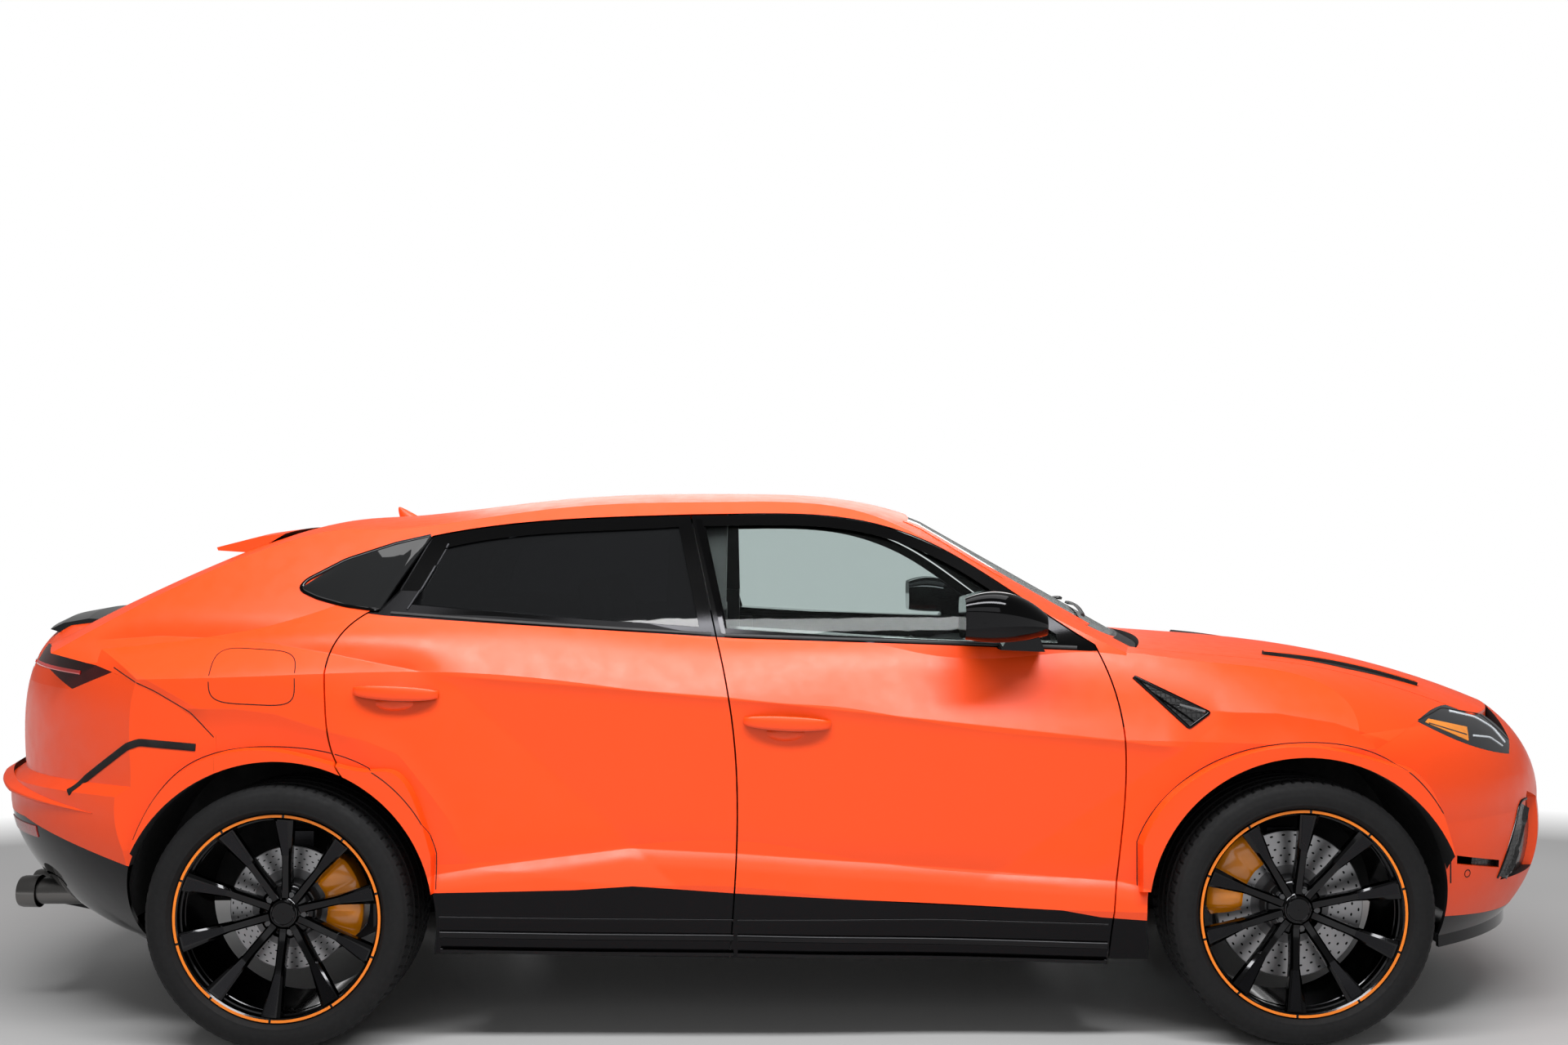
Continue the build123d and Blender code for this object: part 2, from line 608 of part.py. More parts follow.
def spoiler(profile, spans):
    """Left half of a blade across the car: a side profile that drops and shifts with the half-width."""
    with BuildPart() as blade:
        for y, dx, dz in spans:
            with BuildSketch(Plane.XZ.offset(-y)):
                with BuildLine():
                    Polyline(*moved(profile, dx, dz), close=True)
                make_face()
        loft()
    return blade.part


ROOF_BLADE = [(TAILGATE_X - 4, 1534), (-1662, 1522), (-1790, 1490),
              (-1786, 1480), (-1700, 1474), (-1650, 1486)]
TAIL_BLADE = [(-2180, 1262), (-2250, 1266), (-2330, 1252), (-2372, 1232), (-2340, 1222), (-2240, 1224)]
ROOF_SPOILER = spoiler(ROOF_BLADE, ((0, 0, 8), (260, -2, 4), (512, -8, -16))) - UPPER
TAIL_SPOILER = spoiler(TAIL_BLADE, ((0, -20, 6), (300, -8, 2), (535, 48, -18))) - LOWER - UPPER


# Wheels, brakes and knuckles, modelled on the left


class Corner:
    """Sizes of one wheel corner; offsets run outboard from the tyre's centre plane."""

    def __init__(self, axle_x, track_half, tyre_width, cap_offset, disc_r, caliper_turn):
        self.axle_x = axle_x
        self.track_half = track_half
        self.tyre_half = tyre_width / 2
        self.cap = cap_offset
        self.disc_r = disc_r
        self.caliper_turn = caliper_turn

    def turning_plane(self):
        """Plane through the axle line with x outboard and y up."""
        return Plane(origin=(self.axle_x, self.track_half, AXLE_Z), x_dir=(0, 1, 0), z_dir=(1, 0, 0))

    def axle(self):
        """The line that the wheel turns about."""
        return Axis((self.axle_x, self.track_half, AXLE_Z), (0, 1, 0))

    def spoke_plane(self, turn, radius, offset):
        """Plane across a spoke, at a turn in degrees from upright towards the front."""
        out = (sin(radians(turn)), 0, cos(radians(turn)))
        tangent = (cos(radians(turn)), 0, -sin(radians(turn)))
        centre = (self.axle_x + radius * out[0], self.track_half + offset, AXLE_Z + radius * out[2])
        return Plane(origin=centre, x_dir=tangent, z_dir=out)


FRONT = Corner(FRONT_AXLE_X, FRONT_TRACK_HALF, FRONT_TYRE_WIDTH, 76.0, 220.0, -60.0)
REAR = Corner(REAR_AXLE_X, REAR_TRACK_HALF, REAR_TYRE_WIDTH, 85.0, 185.0, 78.0)
BEAD_R = 294.0
BARREL_R = 286.0
FLANGE_WIDTH = 9.0
SPOKES = 10
SPOKE_START = 4.0
HUB_R = 82.0
LUGS = 5
LUG_PCD = 130.0
LUG_R = 11.0
DISC_DROP = 100.0
DISC_BAND = 92.0
DISC_WIDTH = 34.0
HUB_SEAT = 46.0
SPINDLE_R = 34.0


def turned(corner, points):
    """Ring turned about the axle from a closed half-section of (offset, radius) points."""
    with BuildPart() as ring:
        with BuildSketch(corner.turning_plane()):
            with BuildLine():
                Polyline(*points, close=True)
            make_face()
        revolve(axis=corner.axle())
    return ring.part


def tyre(corner):
    """Hollow tyre, open towards the rim."""
    bead = corner.tyre_half - FLANGE_WIDTH - 18
    half = corner.tyre_half
    outer = [(bead, BEAD_R), (bead, 308), (half - 4, 330), (half, 348), (half - 5, 368), (half - 22, 385),
             (half - 40, TYRE_R)]
    inner = [(bead - 16, BEAD_R), (bead - 16, 316), (half - 18, 332), (half - 13, 348), (half - 18, 368),
             (half - 42, TYRE_R - 16)]
    outside = outer + [(-x, r) for x, r in outer[::-1]]
    inside = [(-x, r) for x, r in inner] + inner[::-1]
    return turned(corner, outside + inside)


def spoke(corner, edge, turn):
    """One spoke: narrow at the hub, kinked, and wide where it meets the barrel."""
    with BuildPart() as blade:
        for radius, offset, width, depth in ((64, corner.cap - 28, 34, 34), (170, corner.cap - 4, 30, 34),
                                             (BARREL_R + 4, edge - 13, 58, 24)):
            with BuildSketch(corner.spoke_plane(turn, radius, offset)):
                Rectangle(width, depth)
        loft(ruled=True)
    return blade.part


def rim(corner):
    """Barrel with two flanges, ten spokes that widen to the rim, and a hub with lug pockets."""
    seat = corner.tyre_half - FLANGE_WIDTH - 18 + FIT
    edge = seat + FLANGE_WIDTH
    barrel = [(edge, RIM_R), (seat, RIM_R), (seat, BEAD_R - FIT), (-seat, BEAD_R - FIT), (-seat, RIM_R),
              (-edge, RIM_R), (-edge, BARREL_R), (edge, BARREL_R)]
    hub_back = corner.cap - HUB_SEAT
    hub = [(hub_back, 0), (hub_back, HUB_R), (corner.cap - 10, HUB_R - 8), (corner.cap - 10, 36),
           (corner.cap, 34), (corner.cap, 0)]
    parts = [turned(corner, barrel), turned(corner, hub)]
    parts += [spoke(corner, edge, SPOKE_START + number * 360 / SPOKES) for number in range(SPOKES)]
    with BuildPart() as wheel:
        add(parts)
        for number in range(LUGS):
            turn = SPOKE_START + 14 + number * 360 / LUGS
            centre = corner.spoke_plane(turn, LUG_PCD / 2, corner.cap - 20).origin
            with BuildSketch(Plane(origin=centre, x_dir=(1, 0, 0), z_dir=(0, 1, 0))):
                Circle(LUG_R)
            extrude(amount=30, mode=Mode.SUBTRACT)
    return wheel.part


def brake_disc(corner):
    """Flat ring with a hat that seats on the back of the hub."""
    face = corner.cap - DISC_DROP + DISC_WIDTH / 2
    hat = corner.cap - HUB_SEAT - FIT
    back = face - DISC_WIDTH
    inner = corner.disc_r - DISC_BAND
    bore = SPINDLE_R + FIT
    return turned(corner, [(back, inner), (back, corner.disc_r), (face, corner.disc_r), (face, 92), (hat, 86),
                           (hat, bore), (hat - 12, bore), (hat - 12, 76), (face - 10, 80), (face - 10, inner)])


CALIPER_ARC = 74.0
CARRIER_ARC = 40.0
CALIPER_BACK = 40.0
CALIPER_LAP = 72.0
CALIPER_TOP = 38.0
CALIPER_ROOM = 5.0


def caliper(corner):
    """Block that straddles the disc over part of its edge."""
    face = corner.cap - DISC_DROP + DISC_WIDTH / 2
    back = face - DISC_WIDTH
    low = corner.disc_r - CALIPER_LAP
    top = corner.disc_r + CALIPER_TOP
    room = corner.disc_r + CALIPER_ROOM + 1
    with BuildPart() as body:
        with BuildSketch(corner.turning_plane()):
            with BuildLine():
                Polyline((face + 30, low), (face + 34, corner.disc_r - 10), (face + 26, top),
                         (back - CALIPER_BACK, top), (back - CALIPER_BACK, low),
                         (back - CALIPER_ROOM, low), (back - CALIPER_ROOM, room),
                         (face + CALIPER_ROOM, room), (face + CALIPER_ROOM, low), close=True)
            make_face()
        revolve(axis=corner.axle(), revolution_arc=CALIPER_ARC)
    return body.part.rotate(corner.axle(), corner.caliper_turn - CALIPER_ARC / 2)


KNUCKLE_FACE = 725.0
KNUCKLE_T = 34.0
KNUCKLE_FOOT = AXLE_Z - 150
KNUCKLE_TOP = AXLE_Z + 215


def knuckle(corner):
    """Upright with its spindle and a flange that carries the caliper."""
    face = KNUCKLE_FACE - corner.track_half
    spindle_end = corner.cap - HUB_SEAT - 6
    spindle = [(face, 0), (face, 62), (face + KNUCKLE_T, 62), (face + KNUCKLE_T, SPINDLE_R),
               (spindle_end, SPINDLE_R), (spindle_end, 0)]
    back = KNUCKLE_FACE + KNUCKLE_T
    post = slab(corner.axle_x - 42, corner.axle_x + 42, KNUCKLE_FACE, back, KNUCKLE_FOOT, KNUCKLE_TOP)
    return turned(corner, spindle) + post + carrier(corner, face)


def carrier(corner, face):
    """Sector plate from the upright out to the caliper."""
    end = corner.cap - DISC_DROP - DISC_WIDTH / 2 - CALIPER_BACK - FIT
    rim_r = corner.disc_r - 8
    with BuildPart() as plate:
        with BuildSketch(corner.turning_plane()):
            with BuildLine():
                Polyline((face, 40), (face, rim_r), (end, rim_r), (end, 40), close=True)
            make_face()
        revolve(axis=corner.axle(), revolution_arc=CARRIER_ARC)
    return plate.part.rotate(corner.axle(), corner.caliper_turn - CARRIER_ARC / 2)


# Underside and structure
FLOOR_Z = 300.0
FLOOR_T = 30.0
FLOOR_HALF = 850.0
LINER_R = 476.0
LINER_T = 10.0
FRONT_LINER_Y = 490.0
REAR_LINER_Y = 600.0
LINER_OUT_Y = 928.0
RAIL_HALF = (398.0, 470.0)
RAIL_LOW = 430.0
RAIL_HIGH = 540.0


def liner(axle_x, inner_y):
    """Half-round wheel housing with its inner wall, on the left."""
    with BuildPart() as housing:
        with BuildSketch(Plane.XZ.offset(-inner_y)):
            with Locations((axle_x, AXLE_Z)):
                Circle(LINER_R + LINER_T)
        extrude(amount=inner_y - LINER_OUT_Y)
        with BuildSketch(Plane.XZ.offset(-inner_y - LINER_T)):
            with Locations((axle_x, AXLE_Z)):
                Circle(LINER_R)
        extrude(amount=-600, mode=Mode.SUBTRACT)
        with BuildSketch(Plane.XY.offset(-200)):
            with Locations((axle_x, inner_y)):
                Rectangle(1200, 1200)
        extrude(amount=200 + AXLE_Z - 30, mode=Mode.SUBTRACT)
    return housing.part


FRONT_LINER = liner(FRONT_AXLE_X, FRONT_LINER_Y)
REAR_LINER = liner(REAR_AXLE_X, REAR_LINER_Y)

FLOOR_TOP = FLOOR_Z + FLOOR_T
FIREWALL_X = 1020.0
BOOT_LOW = 490.0
BOOT_TOP = 520.0
FLOOR_PROFILE = [(FIREWALL_X + 25, FLOOR_Z), (FIREWALL_X + 25, 1035), (FIREWALL_X, 1035),
                 (FIREWALL_X, FLOOR_TOP), (-930, FLOOR_TOP), (-1010, BOOT_TOP), (-1990, BOOT_TOP),
                 (-1990, BOOT_LOW), (-1032, BOOT_LOW), (-952, FLOOR_Z)]
with BuildPart() as floor_sheet:
    with BuildSketch(Plane.XZ.offset(FLOOR_HALF)):
        with BuildLine():
            Polyline(*FLOOR_PROFILE, close=True)
        make_face()
    extrude(amount=-2 * FLOOR_HALF)


def wheel_room(axle_x, wall_y, grow):
    """Round clearance of a wheel housing on the left."""
    with BuildPart() as room:
        with BuildSketch(Plane.XZ.offset(-wall_y)):
            with Locations((axle_x, AXLE_Z)):
                Circle(LINER_R + LINER_T + grow)
        extrude(amount=-600)
    return room.part


FRONT_ROOM = halves(wheel_room(FRONT_AXLE_X, FRONT_LINER_Y - FIT, FIT))
REAR_ROOM = halves(wheel_room(REAR_AXLE_X, REAR_LINER_Y - FIT, FIT))
SILL = halves(slab(-985, 1045, 740, FLOOR_HALF, SILL_LOW, SILL_TOP))
HINGE_POST = halves(slab(985, 1045, 780, 862, SILL_LOW, 880))
FRONT_RAIL = halves(slab(1040, 2300, RAIL_HALF[0], RAIL_HALF[1], RAIL_LOW, RAIL_HIGH))
REAR_RAIL = halves(slab(-2250, -1980, RAIL_HALF[0], RAIL_HALF[1], RAIL_LOW, BOOT_TOP))
FRONT_BEAM = slab(2290, 2335, -520, 520, 420, 560)
REAR_BEAM = slab(-2250, -2210, -480, 480, RAIL_LOW, BOOT_TOP)
TUNNEL_TOP = 420.0
TUNNEL_ROOM = slab(-960, 1070, -70, 70, 240, 370)
TUNNEL = slab(-900, 1050, -120, 120, FLOOR_Z, TUNNEL_TOP) - TUNNEL_ROOM
FLOOR = (floor_sheet.part - TUNNEL_ROOM) + SILL + HINGE_POST + TUNNEL + FRONT_RAIL + REAR_RAIL
FLOOR = FLOOR + FRONT_BEAM + REAR_BEAM - FRONT_ROOM - REAR_ROOM

# Seats of the hinges: blocks just inside the doors, posts just under the hood
HOOD_POST_X = (HOOD_REAR_X + 3, HOOD_REAR_X + 55)
UNDER_PANELS = length_form(PANEL_WALL + FIT)
HOOD_POST = slab(HOOD_POST_X[0], HOOD_POST_X[1], RAIL_HALF[0], RAIL_HALF[1], RAIL_HIGH - 10, 1250)
FLOOR = FLOOR + halves(HOOD_POST & UNDER_PANELS)
for low_z, high_z in HINGE_HEIGHTS:
    FLOOR = FLOOR + halves(slab(985, 1015, 850, 930, low_z, high_z) & DOOR_SEAT)
FRONT_LINER = FRONT_LINER & UNDER_PANELS & flank_form(PANEL_WALL + FIT)
REAR_LINER = REAR_LINER & UNDER_PANELS & flank_form(DOOR_WALL + SHUT_GAP)


def arm(axle_x, root_y, root_half, tip_y, tip_half, low, high):
    """Flat lower arm on the left, from the subframe out to the upright."""
    with BuildPart() as plate:
        with BuildSketch(Plane.XY.offset(low)):
            with BuildLine():
                Polyline((axle_x - root_half, root_y), (axle_x + root_half, root_y),
                         (axle_x + tip_half, tip_y), (axle_x - tip_half, tip_y), close=True)
            make_face()
        extrude(amount=high - low)
    return plate.part


ARM_LOW = 214.0
FRONT_ARMS = halves(arm(FRONT_AXLE_X, 400, 110, 765, 28, ARM_LOW, KNUCKLE_FOOT - FIT))
REAR_ARMS = halves(arm(REAR_AXLE_X, 400, 150, 770, 40, ARM_LOW, KNUCKLE_FOOT + 10))
FRONT_AXLE = slab(FRONT_AXLE_X - 120, FRONT_AXLE_X + 130, -430, 430, 230, FLOOR_Z) + FRONT_ARMS
TOWER = slab(FRONT_AXLE_X - 60, FRONT_AXLE_X + 60, 400, 430, FLOOR_Z, RAIL_LOW - FIT)
FRONT_AXLE = FRONT_AXLE + halves(TOWER)
REAR_AXLE = slab(REAR_AXLE_X - 150, REAR_AXLE_X + 150, -480, 480, 240, 330)
REAR_AXLE = REAR_AXLE + REAR_ARMS + halves(knuckle(REAR))
REAR_AXLE = REAR_AXLE + slab(REAR_AXLE_X - 60, REAR_AXLE_X + 60, -130, 130, 330, BOOT_LOW - FIT)

with BuildPart() as engine:
    with BuildSketch(Plane.YZ.offset(1240)):
        with BuildLine():
            Polyline((-230, FLOOR_Z + FIT), (230, FLOOR_Z + FIT), (330, 640), (330, 900),
                     (210, 985), (-210, 985), (-330, 900), (-330, 640), close=True)
        make_face()
    extrude(amount=620)


PIPE_END_X = -2420.0
PIPE_LENGTH = 330.0
PIPE_Z = 372.0
PIPE_WIDE = 50.0
PIPE_HIGH = 42.0
PIPE_Y = (400.0, 512.0)


def tail_pipe(y, grow=0.0):
    """Oval pipe end, or its clearance if grown."""
    with BuildPart() as pipe:
        with BuildSketch(Plane.YZ.offset(PIPE_END_X)):
            with Locations((y, PIPE_Z)):
                Ellipse(PIPE_WIDE + grow, PIPE_HIGH + grow)
                if not grow:
                    Ellipse(PIPE_WIDE - 4, PIPE_HIGH - 4, mode=Mode.SUBTRACT)
        extrude(amount=PIPE_LENGTH)
    return pipe.part


MUFFLER = slab(-2120, -1990, -520, 520, 330, 396)
EXHAUST = MUFFLER + halves(slab(-1990, -1120, 150, 210, 340, 396))
for pipe_y in PIPE_Y:
    EXHAUST = EXHAUST + halves(tail_pipe(pipe_y))
    VALANCE_HALF = VALANCE_HALF - tail_pipe(pipe_y, FIT)

# Cabin
SEAT_Y = 380.0
with BuildPart() as dash_form:
    with BuildSketch(Plane.XZ.offset(760)):
        with BuildLine():
            Polyline((FIREWALL_X - FIT, 700), (FIREWALL_X - FIT, 1105), (900, 1125), (640, 1110), (560, 1060),
                     (590, 930), (640, 760), (760, 700), close=True)
        make_face()
    extrude(amount=-1520)
CONSOLE = slab(-420, 830, -115, 115, TUNNEL_TOP + FIT, 704)
DASHBOARD = dash_form.part + CONSOLE

STEER_CENTRE = (430.0, SEAT_Y, 960.0)
COLUMN_TILT = 25.0
COLUMN_R = 28.0
COLUMN_LENGTH = 175.0
STEER_PLANE = Plane(origin=STEER_CENTRE, x_dir=(0, 1, 0),
                    z_dir=(cos(radians(COLUMN_TILT)), 0, -sin(radians(COLUMN_TILT))))
with BuildPart() as steering_wheel:
    with BuildSketch(STEER_PLANE):
        Circle(186)
        Circle(158, mode=Mode.SUBTRACT)
        Circle(55)
        Rectangle(330, 44)
    extrude(amount=26)
    with BuildSketch(STEER_PLANE.offset(26)):
        Circle(COLUMN_R)
    extrude(amount=COLUMN_LENGTH)

with BuildPart() as column_room:
    with BuildSketch(STEER_PLANE.offset(26)):
        Circle(COLUMN_R + FIT)
    extrude(amount=COLUMN_LENGTH + 4)
DASHBOARD = DASHBOARD - column_room.part


def seat_side(cushion, back_foot, back_top, head_top, thick):
    """Side profile of a seat: cushion, leaning back and headrest in one."""
    front, floor, top = cushion
    return [(front, top), (front + 18, top - 60), (front, floor), (back_foot - 60, floor),
            (back_foot - thick, top), (back_top[0] - thick, back_top[1]),
            (head_top[0] - thick + 30, head_top[1]), head_top, back_top, (back_foot + 10, top + 20)]


def seat(profile, near, far):
    """Seat solid between two half-widths."""
    with BuildPart() as body:
        with BuildSketch(Plane.XZ.offset(-near)):
            with BuildLine():
                Polyline(*profile, close=True)
            make_face()
        extrude(amount=near - far)
    return body.part


SEAT_FLOOR = FLOOR_TOP + FIT
FRONT_SEAT_SIDE = seat_side((160, SEAT_FLOOR, 640), -330, (-520, 1190), (-560, 1390), 110)
FRONT_SEAT = seat(FRONT_SEAT_SIDE, SEAT_Y - 255, SEAT_Y + 260)
REAR_SEAT_SIDE = seat_side((-760, SEAT_FLOOR, 680), -1180, (-1370, 1230), (-1400, 1360), 100)
REAR_SEAT = seat(REAR_SEAT_SIDE, -570, 570)
REAR_SEAT = REAR_SEAT - slab(-2000, -926, -600, 600, 300, 526) - slab(-910, -700, -122, 122, 300, 422)

# Mirrors: an arm from the door's belt and a rounded housing
with BuildPart() as mirror_housing:
    with BuildSketch(Plane.YZ.offset(545)):
        with Locations((1010, 1262)):
            RectangleRounded(190, 118, 38)
    with BuildSketch(Plane.YZ.offset(640)):
        with Locations((1008, 1266)):
            RectangleRounded(214, 146, 60)
    with BuildSketch(Plane.YZ.offset(790)):
        with Locations((985, 1240)):
            RectangleRounded(110, 60, 28)
    loft()
    with BuildSketch(Plane.XZ.offset(-888)):
        with BuildLine():
            Polyline((660, 1166), (790, 1160), (770, 1215), (690, 1215), close=True)
        make_face()
    extrude(amount=-90)
MIRROR = mirror_housing.part - LOWER - UPPER

SCREEN = (roof_form(6) - roof_form(6 + GLASS_WALL)) & rear_block(WINDSCREEN_HALF, 330, 1400, -FIT)
COWL = ((UPPER - CABIN_UPPER) & slab(980, 1300, -20, COWL_HALF, 900, SCREEN_FOOT_Z - FIT)) - HOOD_CUT
QUARTER = glass_shape(QUARTER_GLASS)

# Number-plate pad on the rear bumper
PLATE_X = -2552.0
PLATE_Z = 692.0
PLATE_HOLE_Y = 460.0
PLATE_HOLE_Z = 60.0
PLATE_HOLE_R = 3.0
PLATE_PAD = slab(PLATE_X, PLATE_X + 38, -265, 265, PLATE_Z - 46, PLATE_Z + 50)
REAR_BUMPER_WHOLE = halves(REAR_BUMPER_HALF) + PLATE_PAD
with BuildPart() as rear_bumper:
    add(REAR_BUMPER_WHOLE)
    with BuildSketch(Plane.YZ.offset(PLATE_X - 10)):
        with Locations((0, PLATE_Z)):
            with GridLocations(PLATE_HOLE_Y, PLATE_HOLE_Z, 2, 2):
                Circle(PLATE_HOLE_R)
    extrude(amount=120, mode=Mode.SUBTRACT)

CAR = {
    "body_shell": halves(SHELL_HALF),
    "floor_pan": FLOOR,
    "cowl_panel": halves(COWL),
    "hood": halves(HOOD_HALF),
    "front_bumper": halves(BUMPER_HALF),
    "front_splitter": halves(SPLITTER_HALF),
    "front_grille": halves(GRILLE_HALF),
    "headlamps": halves(HEADLAMP_HALF),
    "rear_bumper": rear_bumper.part,
    "rear_valance": halves(VALANCE_HALF),
    "tail_lamps": halves(TAIL_LAMP_HALF),
    "tailgate": halves(TAILGATE_HALF),
    "tailgate_glass": halves(BACKLIGHT_HALF),
    "light_bar": halves(LIGHT_BAR_HALF),
    "roof_spoiler": halves(ROOF_SPOILER),
    "tail_spoiler": halves(TAIL_SPOILER),
    "windscreen": halves(SCREEN),
    "quarter_glass": halves(QUARTER),
    "arch_liners": halves(FRONT_LINER) + halves(REAR_LINER),
    "front_axle": FRONT_AXLE,
    "rear_axle": REAR_AXLE,
    "engine_block": engine.part,
    "exhaust": EXHAUST,
    "dashboard": DASHBOARD,
    "steering_wheel": steering_wheel.part,
    "rear_seat": REAR_SEAT,
    "rear_calipers": halves(caliper(REAR)),
}
HANDED = {
    "door_front": FRONT_DOOR_LEFT,
    "door_rear": REAR_DOOR_LEFT,
    "glass_front": glass_shape(FRONT_GLASS),
    "glass_rear": glass_shape(REAR_GLASS),
    "mirror": MIRROR,
    "fender": FENDER,
    "seat": FRONT_SEAT,
    "knuckle": knuckle(FRONT),
    "caliper_front": caliper(FRONT),
    "tyre_front": tyre(FRONT),
    "tyre_rear": tyre(REAR),
    "rim_front": rim(FRONT),
    "rim_rear": rim(REAR),
    "disc_front": brake_disc(FRONT),
    "disc_rear": brake_disc(REAR),
}
for handed_name, handed_shape in HANDED.items():
    CAR[handed_name + "_left"] = handed_shape
    CAR[handed_name + "_right"] = mirrored(handed_shape)

for piece_name, piece_shape in CAR.items():
    with BuildPart() as piece:
        add(piece_shape)
    piece.part.label = piece_name
    export_step(piece.part, "parts/" + piece_name + ".step")
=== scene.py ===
"""Looks of a coupe-shaped sport utility vehicle, dressed over its packed structure."""
import logging
import math
from collections.abc import Iterable, Sequence
from dataclasses import dataclass
from enum import Enum

import bmesh
import bpy
import numpy as np
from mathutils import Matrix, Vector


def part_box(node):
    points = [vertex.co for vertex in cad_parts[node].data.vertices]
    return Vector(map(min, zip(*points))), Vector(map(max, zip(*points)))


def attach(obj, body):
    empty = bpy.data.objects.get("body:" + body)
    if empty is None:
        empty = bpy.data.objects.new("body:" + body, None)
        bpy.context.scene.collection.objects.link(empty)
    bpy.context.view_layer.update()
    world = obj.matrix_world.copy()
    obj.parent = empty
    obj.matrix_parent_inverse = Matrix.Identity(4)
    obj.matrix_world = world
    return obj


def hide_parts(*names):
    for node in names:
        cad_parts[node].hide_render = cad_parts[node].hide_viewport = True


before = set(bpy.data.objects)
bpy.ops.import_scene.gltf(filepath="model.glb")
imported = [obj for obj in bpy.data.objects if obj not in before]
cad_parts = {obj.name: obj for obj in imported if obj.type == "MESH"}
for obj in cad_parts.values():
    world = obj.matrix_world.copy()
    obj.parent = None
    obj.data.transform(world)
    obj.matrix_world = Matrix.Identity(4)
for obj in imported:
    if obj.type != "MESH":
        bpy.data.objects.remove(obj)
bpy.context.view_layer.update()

LOG = logging.getLogger("suv")
Colour = tuple[float, float, float]
Line = Sequence[tuple[float, float]]
ORANGE: Colour = (1.0, 0.073, 0.004)
BLACK: Colour = (0.012, 0.012, 0.013)


class Side(Enum):
    """Sides of the car; the value is the sign of y."""

    RIGHT = -1
    LEFT = 1

    @property
    def word(self) -> str:
        """Lower-case name used in piece and body names."""
        return self.name.lower()


# --------------------------------------------------------------------------- mesh helpers


def grid_faces(rows: int, cols: int, close_rows: bool, close_cols: bool) -> np.ndarray:
    """Quads of a grid: each joins a point to the next along both directions.

    Args:
        rows: Points along the first parameter.
        cols: Points along the second parameter.
        close_rows: Joins the last row to the first.
        close_cols: Joins the last column to the first.

    Returns:
        Array of four point numbers a face.
    """
    r = np.arange(rows if close_rows else rows - 1)
    c = np.arange(cols if close_cols else cols - 1)
    r, c = np.meshgrid(r, c, indexing="ij")
    r2, c2 = (r + 1) % rows, (c + 1) % cols
    quads = np.stack([r * cols + c, r2 * cols + c, r2 * cols + c2, r * cols + c2], -1)
    return quads.reshape(-1, 4)


def surface(
    name: str,
    points: np.ndarray,
    close_rows: bool = False,
    close_cols: bool = False,
    caps: bool = False,
    sharp: float = 35.0,
    uv: bool = False,
) -> bpy.types.Object:
    """Object from a grid of points, where point (i, j) is the shape at the i-th and j-th parameter.

    Args:
        name: Object name.
        points: Array (rows, cols, 3) in metres.
        close_rows: Joins the last row to the first.
        close_cols: Joins the last column to the first.
        caps: Closes the first and last row with one face each.
        sharp: Angle in degrees above which an edge stays sharp.
        uv: Stores the two parameters as a UV map.

    Returns:
        The linked object.
    """
    rows, cols = points.shape[:2]
    faces = grid_faces(rows, cols, close_rows, close_cols).tolist()
    if caps:
        first, last = list(range(cols)), list(range((rows - 1) * cols, rows * cols))
        faces += [first[::-1], last]
    mesh = bpy.data.meshes.new(name)
    mesh.from_pydata(points.reshape(-1, 3).tolist(), [], faces)
    if uv:
        u, v = np.meshgrid(np.linspace(0, 1, rows), np.linspace(0, 1, cols), indexing="ij")
        loops = np.empty(len(mesh.loops), np.int32)
        mesh.loops.foreach_get("vertex_index", loops)
        pairs = np.stack([u.ravel()[loops], v.ravel()[loops]], -1)
        mesh.uv_layers.new(name="turn").data.foreach_set("uv", pairs.ravel().astype(np.float32))
    mesh.validate()
    mesh.shade_smooth()
    mesh.set_sharp_from_angle(angle=math.radians(sharp))
    piece = bpy.data.objects.new(name, mesh)
    bpy.context.scene.collection.objects.link(piece)
    return piece


def outward(piece: bpy.types.Object, facing: Sequence[float] | None = None) -> bpy.types.Object:
    """Turns all faces out of a closed shape, or an open one's mean face towards a direction.

    Args:
        piece: Object to turn.
        facing: Direction of an open sheet, or None for a closed shape.

    Returns:
        The same object.
    """
    mesh = piece.data
    work = bmesh.new()
    work.from_mesh(mesh)
    bmesh.ops.recalc_face_normals(work, faces=work.faces)
    work.to_mesh(mesh)
    work.free()
    if facing is not None:
        count = len(mesh.polygons)
        normal, area = np.empty(count * 3), np.empty(count)
        mesh.polygons.foreach_get("normal", normal)
        mesh.polygons.foreach_get("area", area)
        if float((normal.reshape(-1, 3) * area[:, None]).sum(0) @ np.asarray(facing, float)) < 0:
            mesh.flip_normals()
    return piece


def joined(name: str, pieces: Sequence[bpy.types.Object]) -> bpy.types.Object:
    """One object from several, under a new name.

    Args:
        name: Name of the piece.
        pieces: Objects to merge.

    Returns:
        The merged object.
    """
    with bpy.context.temp_override(
        active_object=pieces[0],
        object=pieces[0],
        selected_editable_objects=list(pieces),
        selected_objects=list(pieces),
    ):
        bpy.ops.object.join()
    pieces[0].name = name
    pieces[0].data.name = name
    return pieces[0]


def along(points: Line, count: int) -> np.ndarray:
    """Points evenly spaced along straight runs, by cumulative length.

    Args:
        points: Corners of the runs, of two or three numbers each.
        count: How many points come back.

    Returns:
        Array (count, dimension).
    """
    corner = np.asarray(points, float)
    step = np.r_[0, np.cumsum(np.linalg.norm(np.diff(corner, axis=0), axis=1))]
    at = np.linspace(0, step[-1], count)
    return np.stack([np.interp(at, step, corner[:, k]) for k in range(corner.shape[1])], -1)


